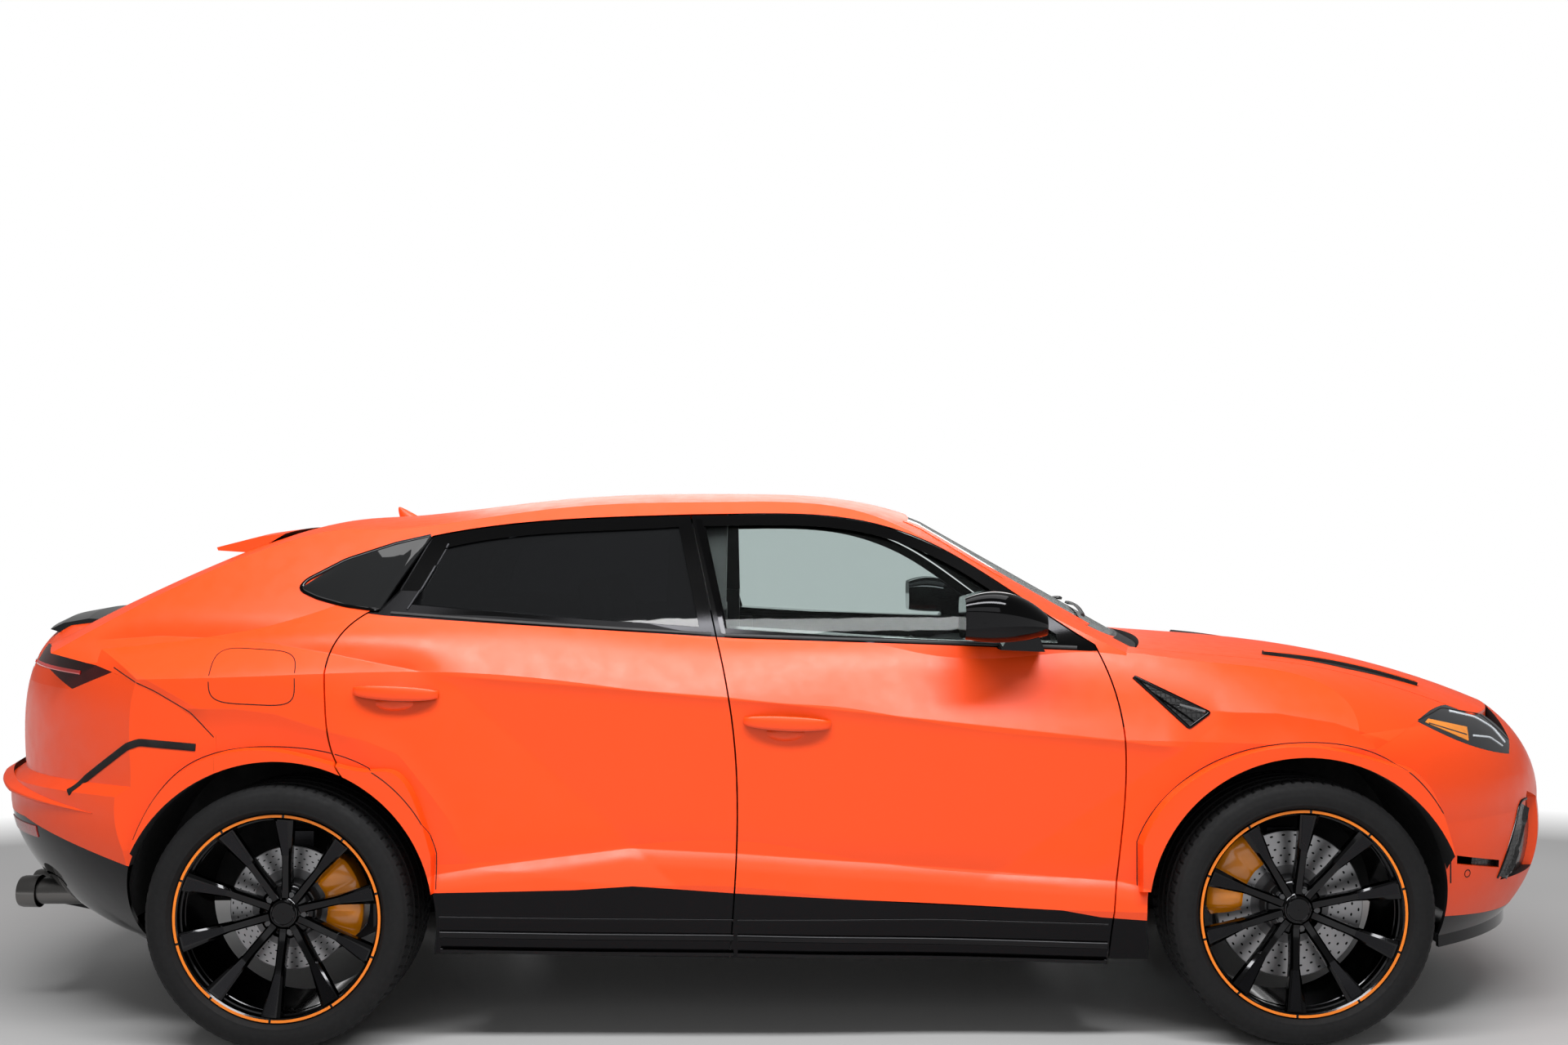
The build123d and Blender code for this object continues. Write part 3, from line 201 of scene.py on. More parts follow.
def eased(points: Line, count: int, ease: int = 3) -> np.ndarray:
    """Points along runs whose corners are rounded by averaging neighbours a few times, ends kept.

    Args:
        points: Corners of the line.
        count: Points to return.
        ease: Times the corners are averaged.

    Returns:
        Array of points.
    """
    line = along(points, count)
    for _ in range(ease):
        line[1:-1] = 0.25 * line[:-2] + 0.5 * line[1:-1] + 0.25 * line[2:]
    return line


def swept(path: np.ndarray, profile: np.ndarray, up: np.ndarray) -> np.ndarray:
    """Profile carried along a path: point = path + a * across + b * up, across = direction x up.

    Args:
        path: Array (n, 3).
        profile: Array (k, 2) of across and up offsets, or (n, k, 2) where it changes on the way.
        up: One direction, or one per path point.

    Returns:
        Array (n, k, 3).
    """
    way = np.gradient(path, axis=0)
    way /= np.linalg.norm(way, axis=1, keepdims=True)
    up = np.broadcast_to(np.asarray(up, float), path.shape)
    across = np.cross(way, up)
    across /= np.linalg.norm(across, axis=1, keepdims=True)
    up = np.cross(across, way)
    profile = np.broadcast_to(profile, (len(path),) + profile.shape[-2:])
    return path[:, None] + profile[..., :1] * across[:, None] + profile[..., 1:] * up[:, None]


def ring(radius: float, count: int, start: float = 0.0) -> np.ndarray:
    """Circle of offsets, radius times cosine and sine of evenly spaced turns."""
    turn = start + np.arange(count) * 2 * math.pi / count
    return np.stack([radius * np.cos(turn), radius * np.sin(turn)], -1)


def round_bar(width: float, height: float, count: int = 16, power: float = 3.0) -> np.ndarray:
    """Rounded bar section: |a / half width| ** p + |b / half height| ** p = 1.

    Args:
        width: Full size across.
        height: Full size up.
        count: Points round.
        power: Squareness p.

    Returns:
        Array of (a, b) points.
    """
    turn = np.arange(count) * 2 * math.pi / count
    c, s = np.cos(turn), np.sin(turn)
    a = np.sign(c) * np.abs(c) ** (2 / power) * width / 2
    b = np.sign(s) * np.abs(s) ** (2 / power) * height / 2
    return np.stack([a, b], -1)


def through(points: Line, start: Sequence[float], end: Sequence[float], count: int) -> np.ndarray:
    """Smooth curve through points with set end directions.

    Between two points the curve is a cubic with matching slopes and bends, so the slopes m solve
    m[k-1] / h[k-1] + 2 m[k] (1 / h[k-1] + 1 / h[k]) + m[k+1] / h[k] = 3 (d[k-1] / h[k-1] + d[k] / h[k]),
    with h the chord lengths and d the steps over them.

    Args:
        points: Places passed.
        start: Direction at the first place.
        end: Direction at the last.
        count: Points to return.

    Returns:
        Array of points.
    """
    p = np.asarray(points, float)
    h = np.linalg.norm(np.diff(p, axis=0), axis=1)
    step = np.diff(p, axis=0) / h[:, None]
    n = len(p)
    matrix, right = np.zeros((n, n)), np.zeros((n, 2))
    matrix[0, 0] = matrix[-1, -1] = 1.0
    right[0], right[-1] = np.asarray(start) / np.linalg.norm(start), np.asarray(end) / np.linalg.norm(end)
    for k in range(1, n - 1):
        matrix[k, k - 1:k + 2] = 1 / h[k - 1], 2 / h[k - 1] + 2 / h[k], 1 / h[k]
        right[k] = 3 * (step[k - 1] / h[k - 1] + step[k] / h[k])
    slope = np.linalg.solve(matrix, right)
    knots = np.r_[0, np.cumsum(h)]
    at = np.linspace(0, knots[-1], count)
    k = np.clip(np.searchsorted(knots, at, "right") - 1, 0, n - 2)
    t, width = ((at - knots[k]) / h[k])[:, None], h[k][:, None]
    low = p[k] * (1 + 2 * t) * (1 - t) ** 2 + slope[k] * width * t * (1 - t) ** 2
    return low + p[k + 1] * t ** 2 * (3 - 2 * t) + slope[k + 1] * width * t ** 2 * (t - 1)


class Skin:
    """Outer face of the structure, read as heights over a plane."""

    def __init__(self, nodes: Iterable[str]) -> None:
        """Collects the triangles of the named nodes."""
        parts = []
        for name in nodes:
            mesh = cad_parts[name].data
            mesh.calc_loop_triangles()
            co = np.empty(len(mesh.vertices) * 3)
            mesh.vertices.foreach_get("co", co)
            index = np.empty(len(mesh.loop_triangles) * 3, np.int32)
            mesh.loop_triangles.foreach_get("vertices", index)
            parts.append(co.reshape(-1, 3)[index].reshape(-1, 3, 3))
        self.triangles = np.concatenate(parts)

    def cast(self, origin: np.ndarray, direction: np.ndarray) -> tuple[np.ndarray, np.ndarray]:
        """Farthest point of the skin along each ray, by the ray's crossing with every triangle.

        Args:
            origin: Array (..., 3) of starts inside the car.
            direction: Unit directions, one or one a ray.

        Returns:
            The points and the outward normals; a ray that misses takes its nearest neighbour's distance.
        """
        origin = np.asarray(origin, float)
        start = origin.reshape(-1, 3)
        way = np.broadcast_to(np.asarray(direction, float), origin.shape).reshape(-1, 3)
        mean = way.mean(0)
        tri = self.triangles[((self.triangles - start.mean(0)) @ mean > 0).any(1)]
        for axis in (0, 1, 2):
            if np.abs(way[:, axis]).max() < 1e-9:
                reach = tri[..., axis]
                tri = tri[(reach.min(1) <= start[:, axis].max()) & (reach.max(1) >= start[:, axis].min())]
        tri = tri.astype(np.float32)
        start, way = start.astype(np.float32), way.astype(np.float32)
        e1, e2 = tri[:, 1] - tri[:, 0], tri[:, 2] - tri[:, 0]
        best = np.full(len(start), -np.inf)
        which = np.zeros(len(start), int)
        for first in range(0, len(tri), 1500):
            part = slice(first, first + 1500)
            h = np.cross(way[:, None], e2[None, part])
            det = (e1[None, part] * h).sum(-1)
            det = np.where(np.abs(det) < 1e-9, np.inf, det)
            s = start[:, None] - tri[None, part, 0]
            u = (s * h).sum(-1) / det
            q = np.cross(s, e1[None, part])
            v = (way[:, None] * q).sum(-1) / det
            t = (e2[None, part] * q).sum(-1) / det
            t = np.where((u >= -1e-4) & (v >= -1e-4) & (u + v <= 1.0001) & (t > 0), t, -np.inf)
            far = t.argmax(1)
            value = t[np.arange(len(t)), far]
            better = value > best
            best = np.where(better, value, best)
            which = np.where(better, far + first, which)
        missing = ~np.isfinite(best)
        if missing.all():
            raise ValueError("no ray meets the skin")
        if missing.any():
            gap = np.linalg.norm(start[missing][:, None] - start[~missing][None], axis=-1).argmin(1)
            best[missing], which[missing] = best[~missing][gap], which[~missing][gap]
        normal = np.cross(e1[which], e2[which])
        normal /= np.linalg.norm(normal, axis=1, keepdims=True)
        normal *= np.sign((normal * way).sum(1, keepdims=True) + 1e-9)
        points = start + best[:, None] * way
        return points.reshape(origin.shape), normal.reshape(origin.shape)

    def beside(self, flat: np.ndarray, side: Side) -> tuple[np.ndarray, np.ndarray]:
        """Points and normals at (x, z) places on one side of the car.

        Args:
            flat: Array (..., 2) of (x, z) places.
            side: Side of the car.

        Returns:
            The points and normals.
        """
        flat = np.asarray(flat, float)
        origin = np.stack([flat[..., 0], np.zeros(flat.shape[:-1]), flat[..., 1]], -1)
        return self.cast(origin, (0.0, float(side.value), 0.0))

    def above(self, flat: np.ndarray, height: float = 0.6) -> tuple[np.ndarray, np.ndarray]:
        """Points and normals at (x, y) places on top of the car.

        Args:
            flat: Array (..., 2) of (x, y) places.
            height: Height that the rays leave from.

        Returns:
            The points and normals.
        """
        flat = np.asarray(flat, float)
        origin = np.concatenate([flat, np.full(flat.shape[:-1] + (1,), height)], -1)
        return self.cast(origin, (0.0, 0.0, 1.0))

    def around(
        self, centre_x: float, turns: np.ndarray, z: np.ndarray, side: Side
    ) -> tuple[np.ndarray, np.ndarray]:
        """Points round the nose or tail: turn 0 looks straight forward, 180 degrees straight back.

        Args:
            centre_x: Place on the middle line that the rays leave from.
            turns: Turns in degrees.
            z: Heights.
            side: Side of the car.

        Returns:
            Points and normals.
        """
        turns, z = np.broadcast_arrays(np.radians(turns), z)
        way = np.stack([np.cos(turns), side.value * np.sin(turns), np.zeros(turns.shape)], -1)
        origin = np.stack([np.full(z.shape, centre_x), np.zeros(z.shape), z], -1)
        return self.cast(origin, way)


def smooth_normals(normal: np.ndarray, times: int = 3) -> np.ndarray:
    """Normals averaged with their neighbours along the first axis.

    Args:
        normal: Normals, one or one a point.
        times: Rounds of averaging.

    Returns:
        Unit normals.
    """
    out = normal.copy()
    for _ in range(times):
        out[1:-1] = out[:-2] + 2 * out[1:-1] + out[2:]
        out /= np.linalg.norm(out, axis=-1, keepdims=True)
    return out


def strip(
    name: str, points: np.ndarray, normal: np.ndarray, width: float, proud: float, sink: float = 0.003
) -> bpy.types.Object:
    """Low bar along a path on the skin: flat foot under it, chamfered top a little over it.

    Args:
        name: Name of the piece.
        points: Points on the skin.
        normal: Normals at the points.
        width: Full width of the bar.
        proud: Height over the skin.
        sink: Depth of the foot under the skin.

    Returns:
        The new piece.
    """
    w = width / 2
    section = np.array(
        [(-w, -sink), (-w, 0.6 * proud), (-0.6 * w, proud), (0.6 * w, proud), (w, 0.6 * proud), (w, -sink)]
    )
    return outward(
        surface(name, swept(points, section, smooth_normals(normal)), close_cols=True, caps=True, sharp=50)
    )


def patch(
    name: str, points: np.ndarray, normal: np.ndarray, proud: float, sink: float = 0.003
) -> bpy.types.Object:
    """Plate on the skin from a grid of points, lifted along the normals, its rim turned down.

    Args:
        name: Name of the piece.
        points: Points on the skin.
        normal: Normals at the points.
        proud: Height over the skin.
        sink: Depth of the foot under the skin.

    Returns:
        The new piece.
    """
    normal = smooth_normals(smooth_normals(normal).transpose(1, 0, 2)).transpose(1, 0, 2)
    lift = np.pad(np.full(points.shape[:2], proud), 1, constant_values=-sink)
    wide = np.pad(points, ((1, 1), (1, 1), (0, 0)), mode="edge")
    facing = np.pad(normal, ((1, 1), (1, 1), (0, 0)), mode="edge")
    piece = surface(name, wide + facing * lift[..., None], sharp=40)
    return outward(piece, normal.mean((0, 1)))


def between(low: Line, high: Line, rows: int, cols: int) -> np.ndarray:
    """Grid between two lines: (1 - v) * low(u) + v * high(u).

    Args:
        low: First line.
        high: Second line.
        rows: Points along the lines.
        cols: Points between them.

    Returns:
        Grid of points.
    """
    a, b = along(low, rows), along(high, rows)
    v = np.linspace(0, 1, cols)[None, :, None]
    return a[:, None] * (1 - v) + b[:, None] * v


# --------------------------------------------------------------------------- finishes


class Graph:
    """Short calls that build one material's nodes."""

    def __init__(self, name: str) -> None:
        """Starts a material with its default shader."""
        self.material = bpy.data.materials.new(name)
        self.material.use_nodes = True
        self.tree = self.material.node_tree
        self.shader = self.tree.nodes["Principled BSDF"]

    def node(self, kind: str, links: dict | None = None, **values: object) -> bpy.types.Node:
        """Adds a node, sets its properties and links or fills its inputs.

        Args:
            kind: Type of the node.
            links: Sockets or values by input.

        Returns:
            The new node.
        """
        made = self.tree.nodes.new(kind)
        for key, value in values.items():
            setattr(made, key, value)
        for key, value in (links or {}).items():
            if isinstance(value, bpy.types.NodeSocket):
                self.tree.links.new(value, made.inputs[key])
            else:
                made.inputs[key].default_value = value
        return made

    def math(self, operation: str, a: object, b: object = 0.0, c: object = 0.0) -> bpy.types.NodeSocket:
        """Result of one arithmetic step."""
        return self.node("ShaderNodeMath", {0: a, 1: b, 2: c}, operation=operation).outputs[0]

    def place(self) -> bpy.types.NodeSocket:
        """Object coordinates."""
        return self.node("ShaderNodeTexCoord").outputs["Object"]

    def noise(self, scale: float, detail: float = 3.0, where: object = None) -> bpy.types.NodeSocket:
        """Cloudy values from 0 to 1."""
        links = {"Vector": where or self.place(), "Scale": scale, "Detail": detail}
        return self.node("ShaderNodeTexNoise", links).outputs[0]

    def span(
        self, value: object, low: float, high: float, to_low: float = 0.0, to_high: float = 1.0
    ) -> object:
        """Value mapped from one range to another and clamped."""
        links = {0: value, 1: low, 2: high, 3: to_low, 4: to_high}
        return self.node("ShaderNodeMapRange", links).outputs[0]

    def ease(self, value: object, low: float, high: float) -> bpy.types.NodeSocket:
        """0 below the low value, 1 above the high one, with a soft step between."""
        links = {0: value, 1: low, 2: high, 3: 0.0, 4: 1.0}
        return self.node("ShaderNodeMapRange", links, interpolation_type="SMOOTHSTEP").outputs[0]

    def times(self, *values: object) -> object:
        """Product of several values."""
        total = values[0]
        for value in values[1:]:
            total = self.math("MULTIPLY", total, value)
        return total

    def mix(self, factor: object, first: object, second: object) -> bpy.types.NodeSocket:
        """Colour between two colours.

        Args:
            factor: Socket or value from 0 to 1.
            first: Colour at 0.
            second: Colour at 1.

        Returns:
            Socket of the colour.
        """
        made = self.node("ShaderNodeMix", data_type="RGBA")
        for key, value in ((0, factor), (6, first), (7, second)):
            if isinstance(value, bpy.types.NodeSocket):
                self.tree.links.new(value, made.inputs[key])
            else:
                made.inputs[key].default_value = (*value, 1.0) if isinstance(value, tuple) else value
        return made.outputs[2]

    def curve(self, x: object, points: Line, x_low: float, x_high: float, top: float) -> object:
        """Height of a line over x, as a colour ramp's grey times its top value.

        Args:
            x: Socket along the car.
            points: Corners (x, height).
            x_low: First x.
            x_high: Last x.
            top: Height of full white.

        Returns:
            Socket of the height.
        """
        ramp = self.node("ShaderNodeValToRGB", {0: self.span(x, x_low, x_high)})
        stops = ramp.color_ramp.elements
        for k, (px, pz) in enumerate(sorted(points)):
            at = (px - x_low) / (x_high - x_low)
            stop = stops[k] if k < 2 else stops.new(at)
            stop.position = at
            stop.color = (pz / top,) * 3 + (1.0,)
        return self.math("MULTIPLY", ramp.outputs[0], top)

    def bump(self, height: object, distance: float, after: object = None) -> bpy.types.NodeSocket:
        """Normal bent by a height.

        Args:
            height: Socket of the height.
            distance: Metres for a height of 1.
            after: Normal that is bent, if any.

        Returns:
            Socket of the normal.
        """
        links = {"Height": height, "Distance": distance}
        if after is not None:
            links["Normal"] = after
        return self.node("ShaderNodeBump", links).outputs[0]

    def link(self, value: object, socket: str) -> None:
        """Links a value to the shader."""
        self.tree.links.new(value, self.shader.inputs[socket])


@dataclass(frozen=True)
class Finish:
    """A surface finish: colour with a slow shade change, a fine grain, and a shine that varies."""

    name: str
    colour: Colour
    roughness: float = 0.4
    metallic: float = 0.0
    coat: float = 0.0
    coat_roughness: float = 0.05
    shade: float = 0.06
    cloud: float = 3.0
    grain: float = 600.0
    grain_depth: float = 0.00004
    clear: float = 0.0
    glow: float = 0.0
    ior: float = 1.5

    def build(self) -> bpy.types.Material:
        """Makes the material.

        Returns:
            The new material.
        """
        graph = Graph(self.name)
        base = graph.mix(
            graph.noise(self.cloud),
            tuple(c * (1 - self.shade) for c in self.colour),
            tuple(min(1.0, c * (1 + self.shade)) for c in self.colour),
        )
        graph.link(self.tint(graph, base), "Base Color")
        rough = graph.span(
            graph.noise(self.cloud * 7), 0.3, 0.7, self.roughness * 0.9, self.roughness * 1.12
        )
        graph.link(self.shine(graph, rough), "Roughness")
        graph.link(self.relief(graph), "Normal")
        shader = graph.shader.inputs
        shader["Metallic"].default_value = self.metallic
        metal = self.polish(graph)
        if metal is not None:
            graph.link(metal, "Metallic")
        shader["Coat Weight"].default_value = self.coat
        shader["Coat Roughness"].default_value = self.coat_roughness
        shader["IOR"].default_value = self.ior
        shader["Transmission Weight"].default_value = self.clear
        if self.glow:
            shader["Emission Color"].default_value = (*self.colour, 1.0)
            shader["Emission Strength"].default_value = self.glow
        return graph.material

    def tint(self, graph: Graph, base: object) -> object:
        """Colour after any pattern of this finish."""
        return base

    def shine(self, graph: Graph, rough: object) -> object:
        """Roughness after any pattern of this finish."""
        return rough

    def polish(self, graph: Graph) -> object:
        """Metal share where it changes over the surface."""
        return None

    def relief(self, graph: Graph) -> object:
        """Normal with the fine grain."""
        return graph.bump(graph.noise(self.grain, 2.0), self.grain_depth)


@dataclass(frozen=True)
class BodyPaint(Finish):
    """Satin paint with gloss black below the skirt line and, on doors, above the belt line."""

    skirts: bool = True
    frames: bool = False
    creases: bool = True
    pillar: bool = False
    lean: float = 0.0
    black: Colour = BLACK
    lining: Colour = (0.014, 0.014, 0.015)
    skirt_reach: float = 1.2
    pillar_x: float = -0.22
    pillar_half: float = 0.15
    pillar_top: float = 1.56

    def inside(self, graph: Graph) -> object:
        """1 on faces that look towards the middle of the car, by the normal times the way out.

        Args:
            graph: Graph of the material.

        Returns:
            Socket of the mask.
        """
        normal = graph.node("ShaderNodeTexCoord").outputs["Normal"]
        links = {0: graph.place(), 1: (self.lean, 1.0, 1.0), 2: (0.0, 0.0, -0.5)}
        out = graph.node("ShaderNodeVectorMath", links, operation="MULTIPLY_ADD").outputs[0]
        dot = graph.node(
            "ShaderNodeVectorMath", {0: normal, 1: out}, operation="DOT_PRODUCT"
        ).outputs["Value"]
        return graph.math("LESS_THAN", dot, -0.05)

    def mask(self, graph: Graph) -> object:
        """1 where the panel is gloss black.

        Args:
            graph: Graph of the material.

        Returns:
            Socket of the mask, or 0.
        """
        if not self.skirts:
            return 0.0
        place = graph.node("ShaderNodeSeparateXYZ", {0: graph.place()})
        x, z = place.outputs[0], place.outputs[2]
        skirt = graph.curve(x, SKIRT_LINE, -1.3, 1.3, 1.0)
        low = graph.math("LESS_THAN", z, skirt)
        between_wheels = graph.math("LESS_THAN", graph.math("ABSOLUTE", x), self.skirt_reach)
        low = graph.math("MULTIPLY", low, between_wheels)
        if not self.frames:
            return low
        belt = graph.curve(x, BELT_LINE, -1.3, 1.3, 2.0)
        return graph.math("MAXIMUM", low, graph.math("GREATER_THAN", z, belt))

    def hidden(self, graph: Graph) -> object:
        """1 on the dark centre pillar behind the doors.

        Args:
            graph: Graph of the material.

        Returns:
            Socket of the mask.
        """
        place = graph.node("ShaderNodeSeparateXYZ", {0: graph.place()})
        x, z = place.outputs[0], place.outputs[2]
        off = graph.math("ABSOLUTE", graph.math("ADD", x, -self.pillar_x))
        near = graph.math("LESS_THAN", off, self.pillar_half)
        return graph.math("MULTIPLY", near, graph.math("LESS_THAN", z, self.pillar_top))

    def polish(self, graph: Graph) -> object:
        """Black glass-like parts mirror faintly like dark metal."""
        return self.mask(graph) if self.skirts else None

    def tint(self, graph: Graph, base: object) -> object:
        """Paint, black, or the dark lining of the inner face.

        Args:
            graph: Graph of the material.
            base: Colour of the paint.

        Returns:
            Socket of the colour.
        """
        outer = graph.mix(self.mask(graph), base, self.black)
        if self.pillar:
            outer = graph.mix(self.hidden(graph), outer, self.lining)
        return graph.mix(self.inside(graph), outer, self.lining)

    def shine(self, graph: Graph, rough: object) -> object:
        """Satin on paint, polish on black."""
        outer = graph.mix(self.mask(graph), rough, (0.08, 0.08, 0.08))
        return graph.mix(self.inside(graph), outer, (0.7, 0.7, 0.7))

    def relief(self, graph: Graph) -> object:
        """Pressed creases and facets: the normal leans by the sum of their leans, then is made a unit again.

        Args:
            graph: Graph of the material.

        Returns:
            Socket of the normal.
        """
        if not self.creases:
            return graph.bump(graph.noise(self.grain, 2.0), self.grain_depth)
        where = graph.node("ShaderNodeSeparateXYZ", {0: graph.place()})
        x, z = where.outputs[0], where.outputs[2]
        along_x: object = 0.0
        upward: object = 0.0
        for crease in CREASES:
            upward = graph.math("ADD", upward, crease.lean(graph, x, z))
        for facet in FACETS:
            inside = facet.inside(graph, x, z)
            along_x = graph.math("ADD", along_x, graph.math("MULTIPLY", inside, facet.forward))
            upward = graph.math("ADD", upward, graph.math("MULTIPLY", inside, facet.upward))
        lean = graph.node("ShaderNodeCombineXYZ", {0: along_x, 1: 0.0, 2: upward}).outputs[0]
        flat = graph.node("ShaderNodeTexCoord").outputs["Normal"]
        bent = graph.node("ShaderNodeVectorMath", {0: flat, 1: lean}, operation="ADD").outputs[0]
        unit = graph.node("ShaderNodeVectorMath", {0: bent}, operation="NORMALIZE").outputs[0]
        turned = graph.node(
            "ShaderNodeVectorTransform", {0: unit}, vector_type="NORMAL", convert_from="OBJECT",
            convert_to="WORLD",
        ).outputs[0]
        return graph.bump(graph.noise(self.grain, 2.0), self.grain_depth, turned)


@dataclass(frozen=True)
class Crease:
    """Line over x where the side changes its lean: one lean above it, one below, each easing to nothing."""

    line: Line
    above: float
    above_reach: float
    below: float
    below_reach: float
    start: tuple[float, float] = (-2.5, -2.4)
    end: tuple[float, float] = (2.4, 2.5)

    def lean(self, graph: Graph, x: object, z: object) -> object:
        """Upward lean of the normal at a place.

        Args:
            graph: Graph of the material.
            x: Socket along the car.
            z: Socket of height.

        Returns:
            Socket of the lean.
        """
        far = graph.math("SUBTRACT", z, graph.curve(x, self.line, -2.4, 2.4, 2.0))
        high = graph.times(graph.math("SUBTRACT", 1.0, graph.ease(far, 0.0, self.above_reach)), self.above)
        low = graph.times(graph.ease(far, -self.below_reach, 0.0), self.below)
        over = graph.ease(far, -0.003, 0.003)
        both = graph.math(
            "ADD", graph.times(high, over), graph.times(low, graph.math("SUBTRACT", 1.0, over))
        )
        until = graph.math("SUBTRACT", 1.0, graph.ease(x, *self.end))
        return graph.times(both, graph.ease(x, *self.start), until)


@dataclass(frozen=True)
class Facet:
    """Part of the side inside straight edges, leaning by a fixed amount.

    Each edge is a point (x, z), the way into the facet and how softly it begins.
    """

    edges: tuple[tuple[float, float, float, float, float], ...]
    forward: float
    upward: float

    def inside(self, graph: Graph, x: object, z: object) -> object:
        """1 inside all edges.

        Args:
            graph: Graph of the material.
            x: Socket along the car.
            z: Socket of height.

        Returns:
            Socket of the mask.
        """
        total: object = 1.0
        for px, pz, nx, nz, soft in self.edges:
            far = graph.math("ADD", graph.math("MULTIPLY", x, nx), graph.math("MULTIPLY", z, nz))
            far = graph.math("SUBTRACT", far, px * nx + pz * nz)
            total = graph.times(total, graph.ease(far, -soft, soft))
        return total


CREASES = (
    Crease(
        ((-1.20, 1.118), (-0.976, 1.100), (-0.146, 1.030), (1.022, 0.898), (1.107, 0.886), (1.20, 0.880)),
        0.30, 0.15, -0.24, 0.05, (-1.06, -0.80), (1.13, 1.22),
    ),
    Crease(
        (
            (-2.20, 1.185), (-1.850, 1.208), (-1.673, 1.201), (-1.496, 1.189), (-1.310, 1.162),
            (-1.028, 1.110),
        ),
        -0.34, 0.11, 0.36, 0.15, (-2.10, -1.94), (-1.10, -0.95),
    ),
    Crease(
        (
            (-1.75, 1.003), (-1.576, 1.003), (-1.463, 0.988), (-1.294, 0.932), (-1.197, 0.908),
            (-1.101, 0.868), (-1.020, 0.764), (-0.948, 0.667), (-0.889, 0.5375),
        ),
        0.10, 0.09, -0.22, 0.13, (-1.80, -1.70), (-1.02, -0.88),
    ),
    Crease(
        ((-2.04, 1.199), (-2.00, 1.177), (-1.85, 1.094), (-1.69, 1.006), (-1.60, 0.990)), 0.06, 0.10, -0.26,
        0.07, (-2.02, -1.94), (-1.74, -1.64),
    ),
    Crease(
        ((-1.10, 0.500), (-0.877, 0.535), (-0.424, 0.590), (-0.110, 0.574), (1.005, 0.488), (1.124, 0.461)),
        -0.14, 0.10, 0.46, 0.06, (-1.20, -0.95), (1.13, 1.20),
    ),
    Crease(
        ((1.20, 0.990), (1.347, 0.978), (1.483, 0.974), (1.649, 0.9455), (1.805, 0.8925), (1.95, 0.82)),
        0.18, 0.11, -0.30, 0.09, (1.26, 1.36), (1.86, 2.00),
    ),
)
FACETS = (
    Facet(
        (
            (-0.967, 1.096, -0.674, -0.739, 0.012), (-1.277, 0.970, 0.744, 0.668, 0.03),
            (-0.976, 1.080, 0.0, -1.0, 0.02), (-0.877, 0.535, 0.12, 0.99, 0.01),
        ),
        -0.07, 0.15,
    ),
    Facet(
        (
            (1.0163, 0.758, 0.554, -0.832, 0.010), (1.10, 0.66, -0.75, 0.66, 0.05),
            (1.02, 0.49, 0.0, 1.0, 0.05), (1.33, 0.95, -1.0, 0.0, 0.05),
        ),
        0.12, 0.16,
    ),
)
SKIRT_LINE = (
    (-1.012, 0.464), (-0.591, 0.471), (-0.417, 0.482), (-0.110, 0.459), (0.838, 0.406), (0.950, 0.385),
    (1.120, 0.372),
)
BELT_LINE = ((-1.30, 1.283), (-1.167, 1.268), (-0.118, 1.197), (0.500, 1.175), (0.933, 1.156))


@dataclass(frozen=True)
class TailLens(Finish):
    """Smoked red lens whose foot, under a line that climbs towards the back, is painted like the bumper."""

    paint: Colour = ORANGE
    foot: Line = ((-2.42, 1.104), (-2.27, 1.106), (-2.133, 1.050), (-1.96, 1.00))

    def painted(self, graph: Graph) -> object:
        """1 under the line.

        Args:
            graph: Graph of the material.

        Returns:
            Socket of the mask.
        """
        place = graph.node("ShaderNodeSeparateXYZ", {0: graph.place()})
        line = graph.curve(place.outputs[0], self.foot, -2.6, -1.8, 2.0)
        wide = graph.math("GREATER_THAN", graph.math("ABSOLUTE", place.outputs[1]), 0.53)
        return graph.times(wide, graph.math("LESS_THAN", place.outputs[2], line))

    def tint(self, graph: Graph, base: object) -> object:
        """Lens or paint."""
        return graph.mix(self.painted(graph), base, self.paint)

    def shine(self, graph: Graph, rough: object) -> object:
        """Clear lens, satin paint."""
        return graph.mix(self.painted(graph), rough, (0.4, 0.4, 0.4))


@dataclass(frozen=True)
class DiscIron(Finish):
    """Turned iron with drilled holes drawn as near-black spots of painted shade, laid out on the disc's own
    turn and radius.
    """

    def holes(self, graph: Graph) -> object:
        """1 in a hole: round spots in rows that lean with the radius.

        Args:
            graph: Graph of the material.

        Returns:
            Socket of the mask.
        """
        flat = graph.node(
            "ShaderNodeSeparateXYZ", {0: graph.node("ShaderNodeUVMap", uv_map="turn").outputs[0]}
        )
        row = graph.math("MULTIPLY", flat.outputs[1], 5.0)
        lean = graph.math("MULTIPLY", graph.math("FLOOR", row), 0.5)
        turn = graph.math("ADD", graph.math("MULTIPLY", flat.outputs[0], 36.0), lean)
        a = graph.math("SUBTRACT", graph.math("FRACT", turn), 0.5)
        b = graph.math("SUBTRACT", graph.math("FRACT", row), 0.5)
        far = graph.math("ADD", graph.math("MULTIPLY", a, a), graph.math("MULTIPLY", b, b))
        return graph.math("LESS_THAN", far, 0.022)

    def tint(self, graph: Graph, base: object) -> object:
        """Painted shade: near-black in the holes, for the shadow inside them."""
        # Painted shade: the holes are not cut, and this near-black stands for the shadow inside them.
        return graph.mix(self.holes(graph), base, (0.01, 0.01, 0.01))


@dataclass(frozen=True)
class Honeycomb(Finish):
    """Black mesh of six-sided cells, as relief."""

    cell: float = 70.0

    def relief(self, graph: Graph) -> object:
        """Cells from the distance to the edge of a regular cell pattern.

        Args:
            graph: Graph of the material.

        Returns:
            Socket of the normal.
        """
        links = {"Vector": graph.place(), "Scale": self.cell, "Randomness": 0.0}
        cells = graph.node("ShaderNodeTexVoronoi", links, feature="DISTANCE_TO_EDGE").outputs[0]
        return graph.bump(graph.span(cells, 0.03, 0.12, 1.0, 0.0), 0.006)


